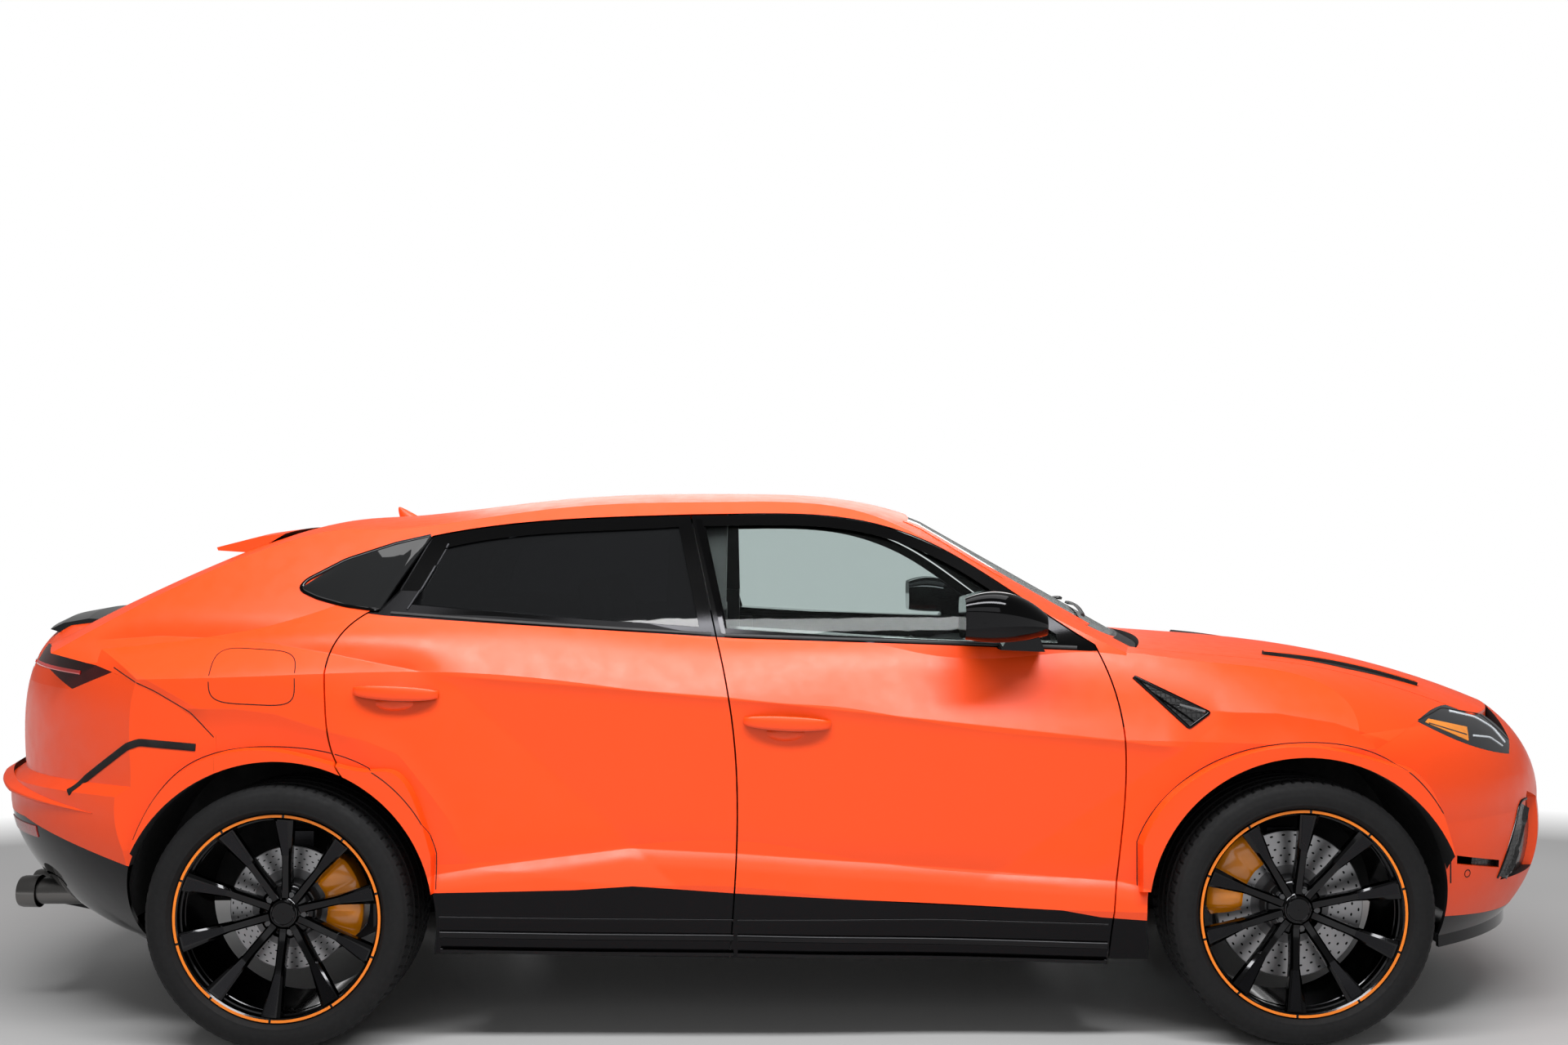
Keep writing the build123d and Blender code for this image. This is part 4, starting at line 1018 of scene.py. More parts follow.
def finishes() -> dict[str, bpy.types.Material]:
    """Every finish of the car, by name."""
    satin = {"coat": 0.05, "coat_roughness": 0.3, "shade": 0.02, "grain": 2400.0, "ior": 1.47}
    made = (
        BodyPaint("body_paint", ORANGE, 0.36, pillar=True, **satin),
        BodyPaint("door_paint", ORANGE, 0.36, frames=True, **satin),
        BodyPaint("plain_paint", ORANGE, 0.36, skirts=False, creases=False, lean=0.3, **satin),
        Finish(
            "gloss_black", BLACK, 0.06, metallic=1.0, coat=0.2, coat_roughness=0.02, shade=0.3,
            grain_depth=0.000006,
        ),
        # Opaque near-black pane: tinted glass, with painted shade standing for the dim cabin behind it.
        Finish(
            "dark_quarter", (0.006, 0.0065, 0.007), 0.02, coat=0.5, coat_roughness=0.0, shade=0.1,
            grain_depth=0.0,
        ),
        Finish("black_trim", BLACK, 0.55, shade=0.2, grain=1500.0, grain_depth=0.00012),
        Finish("underbody", (0.014, 0.014, 0.015), 0.8, shade=0.3, grain=400.0, grain_depth=0.0004),
        Finish("shut_line", (0.004, 0.003, 0.003), 0.9, shade=0.2),
        Finish("lamp_lens", (0.75, 0.78, 0.8), 0.02, clear=1.0, shade=0.02, grain_depth=0.0, ior=1.45),
        Finish("lamp_inside", (0.012, 0.013, 0.016), 0.08, coat=1.0, shade=0.4, cloud=25.0),
        Finish("lamp_chrome", (0.72, 0.73, 0.75), 0.12, metallic=1.0, shade=0.05),
        Finish("lamp_amber", (0.95, 0.28, 0.02), 0.18, coat=1.0, shade=0.15, cloud=60.0),
        Finish("lamp_light", (0.62, 0.66, 0.70), 0.25, glow=0.06, shade=0.02),
        TailLens(
            "tail_lens", (0.050, 0.004, 0.004), 0.06, coat=0.1, shade=0.3, cloud=20.0, grain_depth=0.0,
            ior=1.33,
        ),
        Finish("tail_light", (0.55, 0.02, 0.015), 0.2, glow=0.25, coat=0.6),
        Finish("reflector", (0.45, 0.015, 0.01), 0.2, coat=1.0, grain=900.0, grain_depth=0.0004),
        Finish("clear_glass", (0.62, 0.68, 0.67), 0.0, clear=1.0, shade=0.01, grain_depth=0.0, ior=1.2),
        Finish(
            "dark_glass", (0.035, 0.037, 0.040), 0.02, clear=0.85, shade=0.05, grain_depth=0.0, ior=1.35
        ),
        Finish("chassis_steel", (0.05, 0.05, 0.055), 0.5, metallic=0.8, shade=0.2),
        Finish("engine_metal", (0.16, 0.16, 0.17), 0.45, metallic=0.9, shade=0.2),
        Finish("exhaust_metal", (0.17, 0.165, 0.16), 0.24, metallic=1.0, shade=0.1),
        Finish("interior_trim", (0.018, 0.018, 0.019), 0.6, shade=0.2, grain=900.0, grain_depth=0.0003),
        Finish("steering_leather", (0.015, 0.015, 0.016), 0.5, shade=0.2, grain=1100.0, grain_depth=0.0004),
        Finish("seat_leather", (0.020, 0.020, 0.022), 0.55, shade=0.2, grain=800.0, grain_depth=0.0005),
        Finish("seat_piping", (0.85, 0.15, 0.03), 0.5, shade=0.1),
        Finish("caliper_paint", (1.0, 0.31, 0.004), 0.22, coat=0.6, shade=0.0),
        # Tyre colour: near-black rubber, set darker still as painted shade of the wheel house over the
        # tread.
        Finish(
            "tyre_rubber", (0.010, 0.010, 0.0105), 0.7, shade=0.25, cloud=9.0, grain=1500.0,
            grain_depth=0.0002, ior=1.3,
        ),
        Finish("rim_black", BLACK, 0.10, metallic=1.0, coat=0.35, coat_roughness=0.05, shade=0.3),
        Finish("rim_satin", (0.018, 0.018, 0.020), 0.28, metallic=1.0, coat=0.1, shade=0.2),
        Finish("pinstripe", (1.0, 0.24, 0.01), 0.35, shade=0.04),
        Finish("disc_hub", (0.16, 0.16, 0.165), 0.45, metallic=1.0, shade=0.2),
        DiscIron("disc_iron", (0.33, 0.33, 0.34), 0.32, metallic=1.0, shade=0.15, grain=900.0),
        Honeycomb("vent_mesh", BLACK, 0.35, coat=0.5, shade=0.2),
    )
    return {finish.name: finish.build() for finish in made}


NODE_FINISH = {
    "body_paint": "body_shell fender_left fender_right",
    "door_paint": "door_front_left door_front_right door_rear_left door_rear_right",
    "plain_paint": "hood front_bumper rear_bumper tailgate roof_spoiler",
    "gloss_black": "front_splitter rear_valance mirror_left mirror_right tail_spoiler",
    "black_trim": "cowl_panel",
    "vent_mesh": "front_grille",
    "underbody": "floor_pan arch_liners",
    "lamp_inside": "headlamps",
    "tail_lens": "tail_lamps light_bar",
    "clear_glass": "windscreen glass_front_left glass_front_right",
    "dark_glass": "glass_rear_left glass_rear_right quarter_glass tailgate_glass",
    "chassis_steel": "front_axle rear_axle knuckle_left knuckle_right",
    "engine_metal": "engine_block",
    "exhaust_metal": "exhaust",
    "interior_trim": "dashboard",
    "steering_leather": "steering_wheel",
    "seat_leather": "seat_left seat_right rear_seat",
    "caliper_paint": "caliper_front_left caliper_front_right rear_calipers",
    "tyre_rubber": "tyre_front_left tyre_front_right tyre_rear_left tyre_rear_right",
    "rim_black": "rim_front_left rim_front_right rim_rear_left rim_rear_right",
    "disc_hub": "disc_front_left disc_front_right disc_rear_left disc_rear_right",
}


SKIN_NODES = (
    "body_shell door_front_left door_front_right door_rear_left door_rear_right fender_left "
    "fender_right hood front_bumper rear_bumper tailgate front_splitter rear_valance headlamps "
    "tail_lamps light_bar windscreen cowl_panel glass_front_left glass_front_right "
    "glass_rear_left glass_rear_right quarter_glass tailgate_glass"
)


def dress_nodes(looks: dict[str, bpy.types.Material]) -> None:
    """Gives every node of the structure its finish."""
    for finish, names in NODE_FINISH.items():
        for name in names.split():
            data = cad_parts[name].data
            data.materials.clear()
            data.materials.append(looks[finish])


def place(piece: bpy.types.Object, body: str, look: bpy.types.Material, slot: str) -> bpy.types.Object:
    """Dresses a new piece and lets it ride on a body.

    Args:
        piece: Finished object.
        body: Body it rides on.
        look: Its material.
        slot: Name of the slot; not used.

    Returns:
        The same object.
    """
    piece.data.materials.clear()
    piece.data.materials.append(look)
    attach(piece, body)
    LOG.info("%s on %s: %d faces", piece.name, body, len(piece.data.polygons))
    return piece


# --------------------------------------------------------------------------- studio


@dataclass
class Studio:
    """Plain floor, soft light and the camera."""

    eye: tuple[float, float, float] = (0.0285, -5.52, 1.48)
    lens: float = 35.7
    roll: float = 0.22
    rise: float = 0.0133
    light: float = 0.23
    fade: tuple[float, float] = (3.0, 3.8)

    def build(self) -> None:
        """Makes the whole studio."""
        self.floor()
        self.world()
        self.lamps()
        self.camera()

    def floor(self) -> None:
        """A large flat sheet just under the tyres, white where only the camera sees far."""
        x, y = np.meshgrid(np.linspace(-40, 40, 9), np.linspace(-40, 40, 9), indexing="ij")
        sheet = surface("floor", np.stack([x, y, np.full_like(x, -0.001)], -1))
        graph = Graph("floor_finish")
        spot = graph.node("ShaderNodeSeparateXYZ", {0: graph.place()})
        wide = graph.math("POWER", graph.math("MULTIPLY", spot.outputs[0], 0.55), 2.0)
        far = graph.math("SQRT", graph.math("ADD", wide, graph.math("POWER", spot.outputs[1], 2.0)))
        away = graph.span(far, self.fade[0], self.fade[1])
        graph.link(graph.mix(graph.noise(0.6), (0.50, 0.50, 0.50), (0.56, 0.56, 0.56)), "Base Color")
        graph.shader.inputs["Roughness"].default_value = 0.5
        rays = graph.node("ShaderNodeLightPath").outputs
        seen = graph.math("MAXIMUM", graph.math("MAXIMUM", rays["Is Camera Ray"], rays["Is Glossy Ray"]),
                          rays["Is Transmission Ray"])
        white = graph.node("ShaderNodeEmission", {"Color": (1.0, 1.0, 1.0, 1.0), "Strength": 1.0})
        blend = graph.node(
            "ShaderNodeMixShader",
            {0: graph.math("MULTIPLY", seen, away), 1: graph.shader.outputs[0], 2: white.outputs[0]},
        )
        graph.tree.links.new(blend.outputs[0], graph.tree.nodes["Material Output"].inputs[0])
        sheet.data.materials.append(graph.material)

    def world(self) -> None:
        """White behind the car, softer grey as the light on it."""
        world = bpy.data.worlds.new("studio_air")
        world.use_nodes = True
        bpy.context.scene.world = world
        tree = world.node_tree
        back = tree.nodes["Background"]
        rays = tree.nodes.new("ShaderNodeLightPath")
        seen = tree.nodes.new("ShaderNodeMath")
        seen.operation = "MAXIMUM"
        tree.links.new(rays.outputs["Is Camera Ray"], seen.inputs[0])
        tree.links.new(rays.outputs["Is Transmission Ray"], seen.inputs[1])
        level = tree.nodes.new("ShaderNodeMapRange")
        level.inputs[3].default_value = self.light
        level.inputs[4].default_value = 1.0
        tree.links.new(seen.outputs[0], level.inputs[0])
        tree.links.new(level.outputs[0], back.inputs[1])
        back.inputs[0].default_value = (1.0, 1.0, 1.0, 1.0)

    def lamps(self) -> None:
        """A broad light overhead, a narrow one over the near shoulder and a wide one on each side."""
        for name, spot, turn, size, power in (
            ("lamp_top", (0.0, 0.0, 5.2), (0.0, 0.0, 0.0), (5.5, 2.5), 98.0),
            ("lamp_shoulder", (0.0, -3.1, 4.6), (math.radians(28), 0.0, 0.0), (6.0, 0.7), 310.0),
            ("lamp_near", (0.0, -8.0, 3.4), (math.radians(72), 0.0, 0.0), (7.0, 3.0), 70.0),
            ("lamp_far", (0.0, 8.0, 4.2), (math.radians(-62), 0.0, 0.0), (6.0, 2.7), 120.0),
        ):
            lamp = bpy.data.lights.new(name, "AREA")
            lamp.shape = "RECTANGLE"
            lamp.size, lamp.size_y, lamp.energy = *size, power
            holder = bpy.data.objects.new(name, lamp)
            holder.location, holder.rotation_euler = spot, turn
            bpy.context.scene.collection.objects.link(holder)

    def camera(self) -> None:
        """Eye beside the car, level, looking straight across it."""
        data = bpy.data.cameras.new("eye")
        data.lens, data.sensor_width, data.shift_y = self.lens, 36.0, self.rise
        eye = bpy.data.objects.new("eye", data)
        eye.location = self.eye
        eye.rotation_euler = (math.radians(90), math.radians(self.roll), 0.0)
        bpy.context.scene.collection.objects.link(eye)
        bpy.context.scene.camera = eye
        bpy.context.scene.view_settings.view_transform = "Standard"


# --------------------------------------------------------------------------- wheels


@dataclass
class Wheel:
    """Tyre, rim, stripe, bolts, drilled disc face and caliper of one corner."""

    axle: str
    side: Side
    looks: dict[str, bpy.types.Material]
    spokes: int = 10
    first: float = 4.0
    rim_r: float = 0.305
    bead_r: float = 0.294
    barrel_r: float = 0.286
    flange: float = 0.009
    shoulder: float = 0.018

    def __post_init__(self) -> None:
        """Reads the corner's place and widths from its nodes."""
        low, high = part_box(f"tyre_{self.axle}_{self.side.word}")
        self.centre = (low + high) / 2
        self.half = (high.y - low.y) / 2
        self.track = abs(self.centre.y)
        self.radius = (high.z - low.z) / 2
        disc_low, disc_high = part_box(f"disc_{self.axle}_{self.side.word}")
        self.disc_r = (disc_high.z - disc_low.z) / 2
        self.cap = 0.076 if self.axle == "front" else 0.085
        self.seat = self.half - self.flange - self.shoulder + 0.0003
        self.disc_plane = self.cap - 0.100 + 0.017
        self.edge = self.seat + self.flange

    def at(self, out: np.ndarray, radius: np.ndarray, turn: np.ndarray) -> np.ndarray:
        """Point at an outboard offset, a radius and a turn: centre + (r sin t, out, r cos t)."""
        out, radius, turn = np.broadcast_arrays(out, radius, turn)
        return np.stack([
            self.centre.x + radius * np.sin(turn),
            self.side.value * (self.track + out),
            self.centre.z + radius * np.cos(turn),
        ], -1)

    def round(self, name: str, profile: np.ndarray, turns: int, **extra: object) -> bpy.types.Object:
        """Closed section of (outboard, radius) turned about the axle.

        Args:
            name: Name of the piece.
            profile: Corners of the section.
            turns: Steps round.
            extra: Options of surface.

        Returns:
            The new piece.
        """
        turn = np.arange(turns)[:, None] * 2 * math.pi / turns
        points = self.at(profile[None, :, 0], profile[None, :, 1], turn)
        return outward(surface(name, points, close_rows=True, close_cols=True, **extra))

    def build(self) -> None:
        """Makes the corner's pieces and rides them on the wheel."""
        body = f"wheel_{self.axle}_{self.side.word}_body"
        tail = f"{self.axle}_{self.side.word}"
        tyre = place(self.tyre(f"tyre_{tail}_tread"), body, self.looks["tyre_rubber"], "tyre_rubber")
        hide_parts(f"tyre_{tail}")
        rim = place(self.rim(f"rim_{tail}_spokes"), body, self.looks["rim_black"], "rim_black")
        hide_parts(f"rim_{tail}")
        place(self.pads(f"rim_{tail}_pads"), body, self.looks["rim_satin"], "rim_black")
        place(self.stripe(f"rim_{tail}_stripe"), body, self.looks["pinstripe"], "caliper_paint")
        place(self.disc_face(f"disc_{tail}_face"), body, self.looks["disc_iron"], "disc_iron")
        place(self.bolts(f"rim_{tail}_bolts"), body, self.looks["lamp_inside"], "rim_black")
        carrier = f"knuckle_{self.side.word}_body" if self.axle == "front" else "chassis"
        node = f"caliper_front_{self.side.word}" if self.axle == "front" else "rear_calipers"
        grip = place(
            self.caliper(f"caliper_{tail}_body"), carrier, self.looks["caliper_paint"], "caliper_paint"
        )
        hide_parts(node)

    def tyre(self, name: str) -> bpy.types.Object:
        """Tyre: a rounded section turned round, its tread sunk by four grooves and leaning cross cuts.

        The radius is the section's radius less the depth of a groove, where the offset is near a groove
        line or the turn, leant with the offset, is near a cut.

        Args:
            name: Name of the piece.

        Returns:
            The new piece.
        """
        half, r = self.half, self.radius
        bead = half - self.flange - self.shoulder
        corner = [
            (bead, self.bead_r), (bead, 0.306), (bead + 0.008, 0.3085), (half - 0.006, 0.318),
            (half - 0.0045, 0.3185), (half - 0.0035, 0.326), (half - 0.001, 0.334), (half, 0.348),
            (half - 0.004, 0.366), (half - 0.0095, 0.3755), (half - 0.011, 0.3755), (half - 0.020, 0.3845),
            (half - 0.040, r - 0.0016), (0.0, r),
        ]
        outer = np.array(corner + [(-a, b) for a, b in corner[-2::-1]])
        run = along([tuple(p) for p in outer], 118)
        inner = np.array([(-bead + 0.016, self.bead_r), (-bead + 0.016, 0.316), (-half + 0.016, 0.348),
                          (-half + 0.045, r - 0.018), (half - 0.045, r - 0.018), (half - 0.016, 0.348),
                          (bead - 0.016, 0.316), (bead - 0.016, self.bead_r)])
        profile = np.concatenate([run, inner])
        turns = 400
        turn = np.arange(turns)[:, None] * 2 * math.pi / turns
        out = profile[None, :, 0]
        tread = profile[:, 1] > r - 0.0075
        tread[len(run):] = False
        lines = np.abs(np.abs(out) - half * 0.19) < 0.0052
        lines |= np.abs(np.abs(out) - half * 0.52) < 0.0050
        step = (np.arange(turns)[:, None] + np.round(np.abs(out) * 45)).astype(int) % 5
        cuts = (step == 0) & (np.abs(out) > half * 0.24) & ~(np.abs(np.abs(out) - half * 0.47) < 0.004)
        depth = np.where(lines, 0.007, np.where(cuts, 0.0045, 0.0)) * tread
        return outward(surface(name, self.at(out, profile[None, :, 1] - depth, turn), True, True, sharp=28))

    def spoke(self, turn: float, name: str) -> bpy.types.Object:
        """One spoke: a chamfered bar swept from the hub to the rim, kinked and widening past the kink.

        Args:
            turn: Turn of the spoke from upright.
            name: Name of the piece.

        Returns:
            The new piece.
        """
        radius = np.array([0.046, 0.064, 0.11, 0.155, 0.170, 0.185, 0.23, self.barrel_r + 0.003])
        knots = np.array([0.064, 0.170, self.barrel_r + 0.004])
        middle = np.interp(radius, knots, [self.cap - 0.026, self.cap - 0.006, self.edge - 0.013])
        width = np.interp(radius, [0.046, 0.064, 0.15, 0.17, 0.29], [0.030, 0.030, 0.027, 0.029, 0.060])
        depth = np.interp(radius, knots, [0.034, 0.032, 0.022])
        shape = np.array([
            (-0.5, -0.5), (-0.5, 0.2), (-0.47, 0.3), (-0.30, 0.5), (0.30, 0.5), (0.47, 0.3), (0.5, 0.2),
            (0.5, -0.5),
        ])
        across = shape[None, :, 0] * width[:, None]
        up = middle[:, None] + shape[None, :, 1] * depth[:, None]
        angle = turn + np.arctan2(across, radius[:, None])
        points = self.at(up, np.hypot(radius[:, None], across), angle)
        return outward(surface(name, points, close_cols=True, caps=True, sharp=18))

    def turn_of(self, number: float) -> float:
        """Turn of a spoke in radians."""
        return math.radians(self.first + number * 360 / self.spokes)

    def rim(self, name: str) -> bpy.types.Object:
        """Barrel, flanges, hub and spokes as one piece.

        Args:
            name: Name of the piece.

        Returns:
            The new piece.
        """
        edge, seat = self.edge, self.seat
        barrel = np.array([
            (edge, self.rim_r - 0.001), (edge - 0.001, self.rim_r), (seat, self.rim_r),
            (seat, self.bead_r - 0.0003), (0.3 * seat, self.bead_r - 0.0003),
            (-0.3 * seat, self.bead_r - 0.0003), (-seat, self.bead_r - 0.0003), (-seat, self.rim_r),
            (-edge, self.rim_r), (-edge, self.barrel_r), (-edge + 0.03, self.barrel_r),
            (edge - 0.052, self.barrel_r - 0.002), (edge - 0.050, self.barrel_r),
            (edge - 0.026, self.barrel_r), (edge - 0.024, self.barrel_r + 0.004),
            (edge - 0.004, self.barrel_r + 0.006), (edge, self.barrel_r + 0.010),
        ])
        cap = self.cap
        hub = np.array([
            (cap - 0.046, 0.001), (cap - 0.046, 0.082), (cap - 0.030, 0.080), (cap - 0.022, 0.070),
            (cap - 0.016, 0.052), (cap - 0.010, 0.043), (cap - 0.006, 0.040), (cap - 0.005, 0.036),
            (cap - 0.0015, 0.035), (cap, 0.0325), (cap - 0.0012, 0.030), (cap - 0.001, 0.001),
        ])
        parts = [self.round(name, barrel, 160, sharp=25), self.round(name + "_hub", hub, 60, sharp=25)]
        parts += [self.spoke(self.turn_of(k), f"{name}_{k}") for k in range(self.spokes)]
        return joined(name, parts)

    def pads(self, name: str) -> bpy.types.Object:
        """Satin faces of the spokes: thin plates that widen from the kink, each leaning to one side.

        Args:
            name: Name of the piece.

        Returns:
            The new piece.
        """
        parts = []
        radius = np.linspace(0.176, self.barrel_r - 0.002, 8)
        top = np.interp(radius, [0.170, self.barrel_r + 0.004], [self.cap + 0.0102, self.edge - 0.0018])
        reach = np.interp(radius, [0.17, 0.29], [0.0085, 0.0175])
        lean = (radius - radius[0]) * 0.05
        for k in range(self.spokes):
            mirror = 1 if k % 2 else -1
            across = np.stack([-reach + mirror * lean, reach + mirror * lean], -1)
            angle = self.turn_of(k) + np.arctan2(across, radius[:, None])
            far = np.hypot(radius[:, None], across)
            face = self.at(top[:, None], far, angle)
            back = self.at(top[:, None] - 0.003, far, angle)
            points = np.concatenate([face, back[:, ::-1]], 1)
            parts.append(outward(surface(f"{name}_{k}", points, close_cols=True, caps=True, sharp=20)))
        return joined(name, parts)

    def stripe(self, name: str) -> bpy.types.Object:
        """Painted line on the flange, broken at every spoke.

        Args:
            name: Name of the piece.

        Returns:
            The new piece.
        """
        parts = []
        section = np.array([(0.0, -0.0040), (0.0009, -0.0037), (0.0009, 0.0037), (0.0, 0.0040)])
        for k in range(self.spokes):
            turn = np.linspace(self.turn_of(k) + 0.012, self.turn_of(k + 1) - 0.012, 22)[:, None]
            points = self.at(
                self.edge + section[None, :, 0], self.rim_r - 0.0050 + section[None, :, 1], turn
            )
            parts.append(outward(surface(f"{name}_{k}", points, close_cols=True, caps=True)))
        return joined(name, parts)

    def disc_face(self, name: str) -> bpy.types.Object:
        """Machined face of the disc, a thin ring with its turn and radius kept for the drilled pattern.

        Args:
            name: Name of the piece.

        Returns:
            The new piece.
        """
        radius = np.linspace(self.disc_r - 0.002, 0.118, 16)[None]
        turn = np.linspace(0, 2 * math.pi, 121)[:, None]
        points = self.at(self.disc_plane + 0.0006, radius, turn)
        return outward(surface(name, points, uv=True), (0, self.side.value, 0))

    def bolts(self, name: str) -> bpy.types.Object:
        """Five wheel bolts: six-sided heads on washers, sunk between the spokes.

        Args:
            name: Name of the piece.

        Returns:
            The new piece.
        """
        parts = []
        for k in range(5):
            turn = math.radians(self.first + 18 + k * 72)
            centre = self.at(np.array(0.0), np.array(0.0575), np.array(turn))
            for sides, radius, low, high in ((6, 0.0088, -0.032, -0.012), (20, 0.0125, -0.034, -0.019)):
                flat = ring(radius, sides)
                levels = self.cap + np.array([low, high])
                x = np.broadcast_to(centre[0] + flat[None, :, 0], (2, sides))
                z = np.broadcast_to(centre[2] + flat[None, :, 1], (2, sides))
                y = np.broadcast_to(self.side.value * (self.track + levels)[:, None], (2, sides))
                parts.append(outward(
                    surface(name + str(k), np.stack([x, y, z], -1), close_cols=True, caps=True, sharp=20)
                ))
        return joined(name, parts)

    def caliper(self, name: str) -> bpy.types.Object:
        """Caliper: a rounded saddle swept along the disc's edge, swelling over each piston.

        The outer face moves out by 4 mm times the size of the cosine of three half-turns along the arc,
        and the section shrinks towards both ends.

        Args:
            name: Name of the piece.

        Returns:
            The new piece.
        """
        face, r, wide = self.disc_plane, self.disc_r, 0.034
        section = np.array([
            (face + 0.0055, r - 0.070), (face + 0.022, r - 0.071), (face + 0.031, r - 0.058),
            (face + 0.033, r - 0.030), (face + 0.033, r - 0.008), (face + 0.029, r + 0.022),
            (face + 0.018, r + 0.035), (face - 0.010, r + 0.037), (face - wide - 0.020, r + 0.036),
            (face - wide - 0.038, r + 0.020), (face - wide - 0.038, r - 0.060),
            (face - wide - 0.030, r - 0.070), (face - wide - 0.0055, r - 0.070),
            (face - wide - 0.0055, r + 0.007), (face + 0.0055, r + 0.007),
        ])
        middle = math.radians(-60.0 if self.axle == "front" else 78.0)
        t = np.linspace(-1, 1, 40)[:, None]
        turn = middle + t * math.radians(36.0)
        out = np.broadcast_to(section[None, :, 0], (40, len(section))).copy()
        radius = np.broadcast_to(section[None, :, 1], out.shape).copy()
        swell = 0.004 * np.abs(np.cos(1.5 * math.pi * t)) - 0.004
        out[:, 1:6] += swell
        shrink = 0.012 * np.clip(np.abs(t) * 6 - 5, 0, 1)
        out[:, 1:6] -= shrink
        radius[:, 1:3] += shrink
        radius[:, 5:9] -= shrink
        return outward(surface(name, self.at(out, radius, turn), close_cols=True, caps=True, sharp=40))


# --------------------------------------------------------------------------- body details


@dataclass
class Flank:
    """Pieces on one side: window and pillar covers, handles, flap, vent, arch seams and skirt blades."""

    side: Side
    skin: Skin
    looks: dict[str, bpy.types.Material]
    seam: float = 0.0028
    flare: float = -0.004
    hub_z: float = 0.390

    def build(self) -> None:
        """Makes every piece of this side."""
        self.quarter_window()
        self.handles()
        self.arch_seams()
        self.vent()
        self.skirts()
        self.window_edges()
        self.pillar()
        self.screen_pillar()
        if self.side is Side.RIGHT:
            self.fuel_flap()

    def put(
        self, piece: bpy.types.Object, body: str, look: str, slot: str | None = None
    ) -> bpy.types.Object:
        """Dresses a piece of this side."""
        return place(piece, body, self.looks[look], slot or look)

    def line(
        self, name: str, points: Line, width: float, proud: float, count: int = 60, ease: int = 2
    ) -> bpy.types.Object:
        """Low bar along (x, z) runs on the side skin."""
        path, normal = self.skin.beside(eased(points, count, ease), self.side)
        return strip(f"{name}_{self.side.word}", path, normal, width, proud)

    def plate(
        self, name: str, low: Line, high: Line, proud: float, rows: int = 30, cols: int = 10
    ) -> bpy.types.Object:
        """Plate between two (x, z) lines on the side skin."""
        points, normal = self.skin.beside(between(low, high, rows, cols), self.side)
        return patch(f"{name}_{self.side.word}", points, normal, proud)

    def quarter_window(self) -> None:
        """Fixed window behind the rear door, with a polished surround that ends in a point. The pane is
        opaque near-black: tinted glass, with painted shade for the cabin behind it.

        The pane is blended across from the foot line to the roof line, both read on the skin, and bulges
        outward by a little in its middle: point = (1 - v) * low + v * high + 4 mm * sin(v * half a turn).
        """
        low, facing = self.skin.beside(
            eased([(-1.186, 1.284), (-1.300, 1.298), (-1.385, 1.320), (-1.441, 1.345)], 30), self.side
        )
        high, _ = self.skin.beside(
            eased(
                [(-1.066, 1.503), (-1.173, 1.478), (-1.323, 1.428), (-1.415, 1.372), (-1.443, 1.350)], 30
            ),
            self.side,
        )
        v = np.linspace(0, 1, 12)[None, :, None]
        facing = smooth_normals(np.broadcast_to(facing.mean(0), facing.shape).copy())[:, None] + 0 * v
        points = low[:, None] * (1 - v) + high[:, None] * v + facing * 0.004 * np.sin(math.pi * v)
        pane = patch(f"quarter_window_{self.side.word}", points, facing, 0.004)
        # Opaque near-black pane: tinted glass, with painted shade standing for the dim cabin behind it.
        self.put(pane, "chassis", "dark_quarter", "dark_glass")
        rim = [
            (-1.190, 1.283), (-1.300, 1.296), (-1.390, 1.319), (-1.437, 1.338), (-1.452, 1.349),
            (-1.436, 1.372), (-1.323, 1.434), (-1.173, 1.484), (-1.070, 1.507),
        ]
        self.put(self.line("quarter_surround", rim, 0.013, 0.005, 80), "chassis", "gloss_black")

    def window_edges(self) -> None:
        """Bright-edged rubber along the foot of the door windows, and a fine divider."""
        for door, points in (
            ("front", [(0.900, 1.166), (0.500, 1.183), (-0.150, 1.206)]),
            ("rear", [(-0.190, 1.209), (-0.600, 1.237), (-1.150, 1.276)]),
        ):
            piece = self.line(f"belt_{door}", points, 0.010, 0.004)
            self.put(piece, f"door_{door}_{self.side.word}_body", "black_trim")
        divider = self.line("window_divider", [(-1.012, 1.482), (-1.103, 1.286)], 0.006, 0.003)
        self.put(divider, f"door_rear_{self.side.word}_body", "chassis_steel", "black_trim")

    def pillar(self) -> None:
        """Polished cover on the front door's edge between the windows."""
        front = self.plate(
            "pillar_front", [(-0.138, 1.205), (-0.160, 1.212)], [(-0.222, 1.555), (-0.250, 1.557)], 0.001
        )
        self.put(front, f"door_front_{self.side.word}_body", "gloss_black")

    def screen_pillar(self) -> None:
        """Painted pillar beside the windscreen: a band inboard of the side of the glass, over its edge."""
        height = np.linspace(1.222, 1.548, 30)[:, None]
        edge = np.interp(height, [1.184, 1.216, 1.400, 1.545], [0.660, 0.715, 0.640, 0.560])
        y = edge + np.linspace(0.010, -0.085, 8)[None]
        origin = np.stack([np.full(y.shape, 0.2), self.side.value * y, height + 0 * y], -1)
        points, normal = self.skin.cast(origin, (1.0, 0.0, 0.0))
        self.put(
            patch(f"screen_pillar_{self.side.word}", points, normal, 0.002), "chassis", "plain_paint",
            "body_paint",
        )

